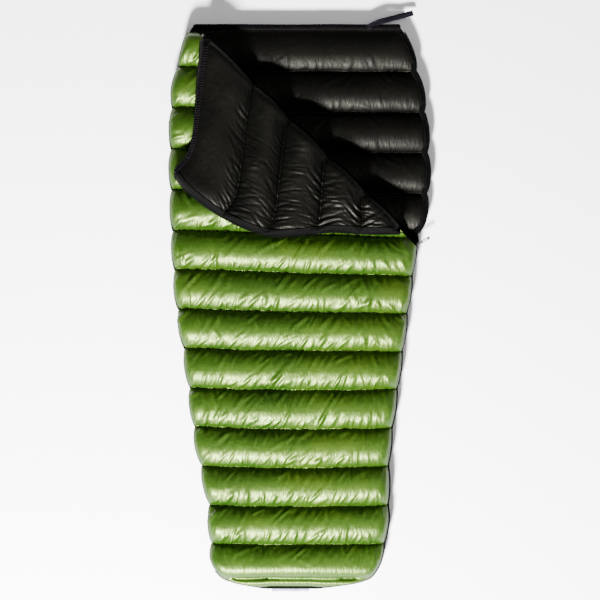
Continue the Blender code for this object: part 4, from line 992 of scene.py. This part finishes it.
def stitches(name, path, body):
    """A row of thread stitches along a path of 3-D points."""
    spots = even(path, STITCH + STITCH_GAP)
    vertices, faces = [], []
    for a, b in zip(spots[:-1], spots[1:]):
        way = (b - a) / np.linalg.norm(b - a)
        side = np.cross(way, (0, 0, 1))
        tip = a + way * STITCH
        thick = STITCH_THICK
        middle = (a + tip) / 2 + np.array((0, 0, STITCH_LIFT + thick))
        base = len(vertices)
        vertices += [a, middle + side * thick, middle - side * thick, tip, middle + np.array((0, 0, thick))]
        vertices.append(middle - np.array((0, 0, 2 * thick)))
        faces += [(base + i, base + j, base + k) for i, j, k in (
            (0, 1, 4), (0, 4, 2), (0, 2, 5), (0, 5, 1), (3, 4, 1), (3, 2, 4), (3, 5, 2), (3, 1, 5))]
    return mesh_object(name, vertices, faces, DARK_THREAD, body)


def wavy_side(rows, side, bulge, notch, offset=0.0):
    """The visual edge of a full-width panel at some chamber coordinates."""
    y = row_y(rows)
    share = rows - np.minimum(rows.astype(int), 13)
    stand = scallop(0.0 * y, share, bulge, notch) + offset
    x = zip_x(y) + stand if side > 0 else closed_x(y) - stand
    return np.stack([x, y], axis=1)


LINING_AT, CORNER_AT = Surface(mat), Surface(corner)
SLIDER_LOW, SLIDER_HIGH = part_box("zip_slider")
SLIDER_Y = (SLIDER_LOW.y + SLIDER_HIGH.y) / 2
slider_row = np.interp(SLIDER_Y, SEAMS, np.arange(len(SEAMS)))
TAPE_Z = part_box("bottom_zip_tape")[1].z
COIL_Z = (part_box("bottom_zip_coil")[0].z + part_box("bottom_zip_coil")[1].z) / 2
TOP_COIL_Z = (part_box("top_zip_coil")[0].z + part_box("top_zip_coil")[1].z) / 2

# The zip side of the bottom panel: tape over the lining's edge in the mouth, then round the foot
mouth_rows = np.linspace(slider_row, 13.85, 460)
mouth_path = wavy_side(mouth_rows, 1, 0.008, 0.006)


def mouth_height(i, x, y, offset):
    """On the lining, and level at the free edge."""
    return max(LINING_AT(x, y, 0.0) + 0.0012, TAPE_Z) if offset > 0 else TAPE_Z


tape = ribbon("bottom_tape_open", mouth_path, (0.016, 0.012, 0.008, 0.004, 0.0, -0.0036), mouth_height, TAPE,
              "bottom_quilt")
low_rows_closed = np.linspace(0.42, slider_row, 120)
right_path = wavy_side(low_rows_closed, 1, 0.004, 0.004)
foot_y = FOOT_Y - 0.0005
corner_rows = np.linspace(0.0, 0.42, 14)[:-1]
right_corner = wavy_side(corner_rows, 1, 0.004, 0.004)
left_corner = wavy_side(corner_rows, -1, 0.007, 0.007)
foot_x = np.linspace(right_corner[0, 0] - 0.01, left_corner[0, 0] + 0.01, 60)
foot_line = np.stack([foot_x, np.full(60, foot_y)], axis=1)
closed_path = np.concatenate([right_path[::-1], right_corner[::-1], foot_line, left_corner])
closed_path = even(closed_path, 0.006)
for _ in range(3):
    closed_path[1:-1] = 0.25 * closed_path[:-2] + 0.5 * closed_path[1:-1] + 0.25 * closed_path[2:]
TAPE_SECTION = (-0.010, -0.004, 0.0, 0.0036)
TOP_TAPE_Z = TOP_COIL_Z + 0.0022
low_tape = ribbon("bottom_tape_closed", closed_path, TAPE_SECTION, lambda i, x, y, o: TAPE_Z, TAPE,
                  "bottom_quilt")
high_tape = ribbon("top_tape_closed", closed_path, TAPE_SECTION, lambda i, x, y, o: TOP_TAPE_Z, TAPE,
                   "top_quilt")
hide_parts("bottom_zip_tape")
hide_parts("top_zip_tape")


def with_z(path, z, offset=0.0):
    """A plan path at a height, moved to its left."""
    moved = path + sideways(path) * offset
    return np.concatenate([moved, np.full((len(path), 1), z)], axis=1)


COIL_BESIDE = 0.0042
open_coil = helix("bottom_coil_open", with_z(mouth_path, COIL_Z, -COIL_BESIDE), "bottom_quilt")
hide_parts("bottom_zip_coil")
shut_coil = helix("bottom_coil_closed", with_z(closed_path, COIL_Z, COIL_BESIDE), "bottom_quilt")
lid_coil = helix("top_coil_closed", with_z(closed_path, TOP_COIL_Z, COIL_BESIDE), "top_quilt")
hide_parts("top_zip_coil")

# Walls of shell between the panels and the zip tapes
WALL_DROP = 0.0045


def wall_height(i, x, y, offset):
    """Just under the tape, and lower at the inner edge."""
    return TAPE_Z - 0.0010 - (WALL_DROP if offset < -0.001 else 0.0)


wall_low = ribbon("bottom_edge_wall", closed_path, (-0.006, 0.0, 0.0018), wall_height, SHELL, "bottom_quilt",
                  0.0008)

# Side strip of shell between the two panels on the closed side
gusset_start = np.interp(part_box("side_gusset")[0].y, SEAMS, np.arange(len(SEAMS)))
side_rows_at = tube_rows(gusset_start, top_last, 20)
side = wavy_side(side_rows_at, -1, 0.007, 0.007) + np.array((0.0005, 0))
lower = wavy_side(side_rows_at, -1, 0.006, 0.008)
strip = []
for k in np.linspace(0, 1, 9):
    line = lower * (1 - k) + side * k
    z = SHELL_EDGE - 0.001 + (TOP_EDGE + 0.0015 - SHELL_EDGE) * k
    bow = -0.0020 * math.sin(math.pi * k)
    strip.append(np.stack([line[:, 0] - bow, line[:, 1], np.full(len(line), z)], axis=1))
gusset = grid_object("side_strip_cloth", np.array(strip), SHELL)
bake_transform(gusset)
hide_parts("side_gusset")

# Head binding of the bottom panel
hem_x = np.linspace(closed_x(HEAD_Y) + 0.004, zip_x(HEAD_Y - 0.02) - 0.004, 420)
hem_low, hem_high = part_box("bottom_head_hem")
hem_y = (hem_low.y + hem_high.y) / 2 + 0.0012 * smooth_noise(3, hem_x, 0 * hem_x, 0.09, 2)
hem_line = np.stack([hem_x, hem_y, np.full(len(hem_x), (LINING_EDGE + hem_high.z) / 2 + 0.001)], axis=1)
hem_half = (hem_high.y - hem_low.y) / 2
head_hem = roll("head_hem_bound", hem_line, hem_half, 0.0034, "bottom_quilt", 0.06, 0.013, 7, 0.5)
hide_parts("bottom_head_hem")
seam_line = hem_line + np.array((0, -(hem_high.y - hem_low.y) * 0.36, 0.0026))
head_stitch = stitches("head_hem_stitches", seam_line[6:-6], "bottom_quilt")

# Gathered binding of the folded corner's head edge, with its stitches; its cord is the CAD piece kept below
hem_share = np.linspace(0.012, 0.985, 300)
corner_hem = smooth_line(HEM_POINTS, hem_share)
hem_side = sideways(corner_hem)
hem_z = np.array([CORNER_AT(*(p + s * 0.006), FLAP_EDGE) for p, s in zip(corner_hem, hem_side)])
bound_z = np.maximum(hem_z, FLAP_EDGE) - 0.0008
corner_line = np.concatenate([corner_hem + hem_side * 0.0035, bound_z[:, None]], axis=1)
ruched = roll("corner_hem_bound", corner_line, 0.0105, 0.0042, "folded_corner", 0.20, 0.0085, 9, 0.45)
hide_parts("flap_head_hem")
stitch_shift = np.concatenate([hem_side * 0.0085, np.full((len(corner_line), 1), 0.0030)], axis=1)
hem_stitch = stitches("corner_hem_stitches", (corner_line + stitch_shift)[5:-5], "folded_corner")

# Tape and coil on the folded corner's zip edge
free_share = np.linspace(0.010, 0.985, 330)
free_edge = smooth_line(ZIP_POINTS, free_share)
inner_side = sideways(free_edge)


def free_height(i, x, y, offset):
    """On the folded corner's lining."""
    return max(CORNER_AT(x, y, FLAP_EDGE), FLAP_EDGE) + 0.0014


FREE_SECTION = (0.021, 0.017, 0.012, 0.007, 0.002, -0.0030)
free_tape = ribbon("corner_zip_tape", free_edge, FREE_SECTION, free_height, TAPE, "folded_corner")
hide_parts("flap_zip_tape")
free_z = np.full((len(free_edge), 1), FLAP_EDGE + 0.0010)
free_coil_line = np.concatenate([free_edge - inner_side * 0.0040, free_z], axis=1)
free_coil = helix("corner_zip_coil", free_coil_line, "folded_corner")
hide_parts("flap_zip_coil")
tape_stitch_at = free_edge + inner_side * 0.0175
tape_z = np.array([[free_height(0, x, y, 0) + 0.0003] for x, y in tape_stitch_at])
tape_stitch_line = np.concatenate([tape_stitch_at, tape_z], axis=1)
tape_stitch = stitches("corner_tape_stitches", tape_stitch_line, "folded_corner")
mouth_stitch_at = mouth_path + sideways(mouth_path) * 0.0125
mouth_z = np.array([[mouth_height(0, x, y, 1.0) + 0.0003] for x, y in mouth_stitch_at])
mouth_stitch_line = np.concatenate([mouth_stitch_at, mouth_z], axis=1)
mouth_stitch = stitches("mouth_tape_stitches", mouth_stitch_line, "bottom_quilt")

# Closure tab
TAB_YAW, TAB_DROP, TAB_HALF = math.radians(16.0), math.radians(9.0), 0.0095
TAB = next(j for j in frame["joints"] if j["child"] == "closure_tab")
TAB_AT = np.array(TAB["pos_m"])
strap_low, strap_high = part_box("closure_tab_strap")
base_low, base_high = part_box("closure_tab_base")
tab_start = np.array((base_low.x + 0.0045, base_low.y + 0.0085))
tab_dir = np.array((math.cos(TAB_YAW), math.sin(TAB_YAW)))
strap_length = (strap_high.x - strap_low.x - 0.0052) / (tab_dir[0] * math.cos(TAB_DROP))
tab_middle = tab_start + (TAB_AT[:2] - tab_start) * 0.55
line = [np.array((*tab_start, base_high.z)), np.array((*tab_middle, base_high.z))]
line.append(np.array((*TAB_AT[:2], base_high.z - 0.0004)))
for k in np.linspace(0.12, 1, 9):
    run = strap_length * k
    line.append(np.array((*(TAB_AT[:2] + tab_dir * run * math.cos(TAB_DROP)),
                          base_high.z - 0.0006 - run * math.sin(TAB_DROP) + 0.0012 * math.sin(9 * k))))
line = even(smooth_line(line, np.linspace(0, 1, 60)), 0.0025)


def strap_height(i, x, y, offset):
    """The strap's line, a little crowned across its width."""
    return line[i, 2] + 0.0005 * (1 - (offset / TAB_HALF) ** 2)


strap_columns = np.linspace(-TAB_HALF, TAB_HALF, 7)
strap = ribbon("closure_strap", line[:, :2], strap_columns, strap_height, WEBBING, None, 0.0017)
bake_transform(strap)
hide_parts("closure_tab_base", "closure_tab_strap")

# Label and loop at the foot, each a thin satin ribbon; the label hangs a little out past the zip
LABEL_OUT = 0.0165
label_low, label_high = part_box("foot_label")
label_x = np.linspace(label_low.x, label_high.x, 64)
label_y = (label_low.y + label_high.y) / 2 - LABEL_OUT
label_path = np.stack([label_x, label_y + 0.0006 * np.sin(label_x * 90)], axis=1)
label = ribbon("foot_label_satin", label_path, np.linspace(-0.0063, 0.0063, 7),
               lambda i, x, y, o: label_high.z + 0.0006 * math.sin(x * 150 + y * 90), SATIN, "bottom_quilt")
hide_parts("foot_label")
tab_low, tab_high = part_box("foot_tab")
tab_y = np.linspace(tab_low.y, tab_high.y, 14)
loop_path = np.stack([np.full(14, (tab_low.x + tab_high.x) / 2), tab_y], axis=1)
loop = ribbon("foot_loop_satin", loop_path, np.linspace(-0.0165, 0.0165, 9),
              lambda i, x, y, o: tab_high.z - 0.0010 * math.sin((y - tab_low.y) * 120), TAB_SATIN,
              "bottom_quilt", 0.0012)
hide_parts("foot_tab")

# CAD pieces that stay, with their finishes
KEPT = {"zip_slider": NICKEL, "zip_pull": NICKEL, "bottom_zip_stop": NICKEL, "flap_zip_stop": NICKEL,
        "hem_drawcord": BRAID, "tab_hook_patch": HOOK}
for node, material in KEPT.items():
    kept = frame["nodes"][node]
    kept.data.materials.clear()
    kept.data.materials.append(material)


# ---------------------------------------------------------------- stage, camera and light

def studio():
    """A pale floor, soft light from the foot side and the camera straight above."""
    floor_mesh = bmesh.new()
    bmesh.ops.create_grid(floor_mesh, x_segments=1, y_segments=1, size=14.0)
    data = bpy.data.meshes.new("studio_floor")
    floor_mesh.to_mesh(data)
    floor_mesh.free()
    floor = bpy.data.objects.new("studio_floor", data)
    floor.location.z = -0.001
    bpy.context.scene.collection.objects.link(floor)
    pale, tree, shader = new_material("studio_pale")
    shader.inputs["Base Color"].default_value = (0.90, 0.90, 0.90, 1)
    shader.inputs["Roughness"].default_value = 0.95
    shader.inputs["Specular IOR Level"].default_value = 0.1
    data.materials.append(pale)
    world = bpy.data.worlds.new("studio")
    world.use_nodes = True
    world.node_tree.nodes["Background"].inputs["Color"].default_value = (1.0, 1.0, 1.0, 1)
    world.node_tree.nodes["Background"].inputs["Strength"].default_value = FILL_LIGHT
    bpy.context.scene.world = world
    for name, place, size, power in LIGHTS:
        light = bpy.data.lights.new(name, "AREA")
        light.energy, light.size = power, size
        lamp = bpy.data.objects.new(name, light)
        lamp.location = place
        lamp.rotation_euler = (Vector((0, 0, 0)) - Vector(place)).to_track_quat("-Z", "Y").to_euler()
        bpy.context.scene.collection.objects.link(lamp)
    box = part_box("bottom_lining")
    camera = bpy.data.cameras.new("camera")
    camera.sensor_width = 36.0
    camera.lens = 36.0 * (CAMERA_HEIGHT - 0.06) / VIEW_WIDTH
    eye = bpy.data.objects.new("camera", camera)
    eye.location = ((box[0].x + box[1].x) / 2 + 0.0035, HEAD_Y - 0.941, CAMERA_HEIGHT)
    bpy.context.scene.collection.objects.link(eye)
    bpy.context.scene.camera = eye


CAMERA_HEIGHT, VIEW_WIDTH = 6.0, 2.04
FILL_LIGHT = 0.28
LIGHTS = (("key", (-1.1, -4.0, 3.5), 0.8, 3500.0), ("soft", (1.5, 1.0, 5.0), 3.0, 90.0))
studio()
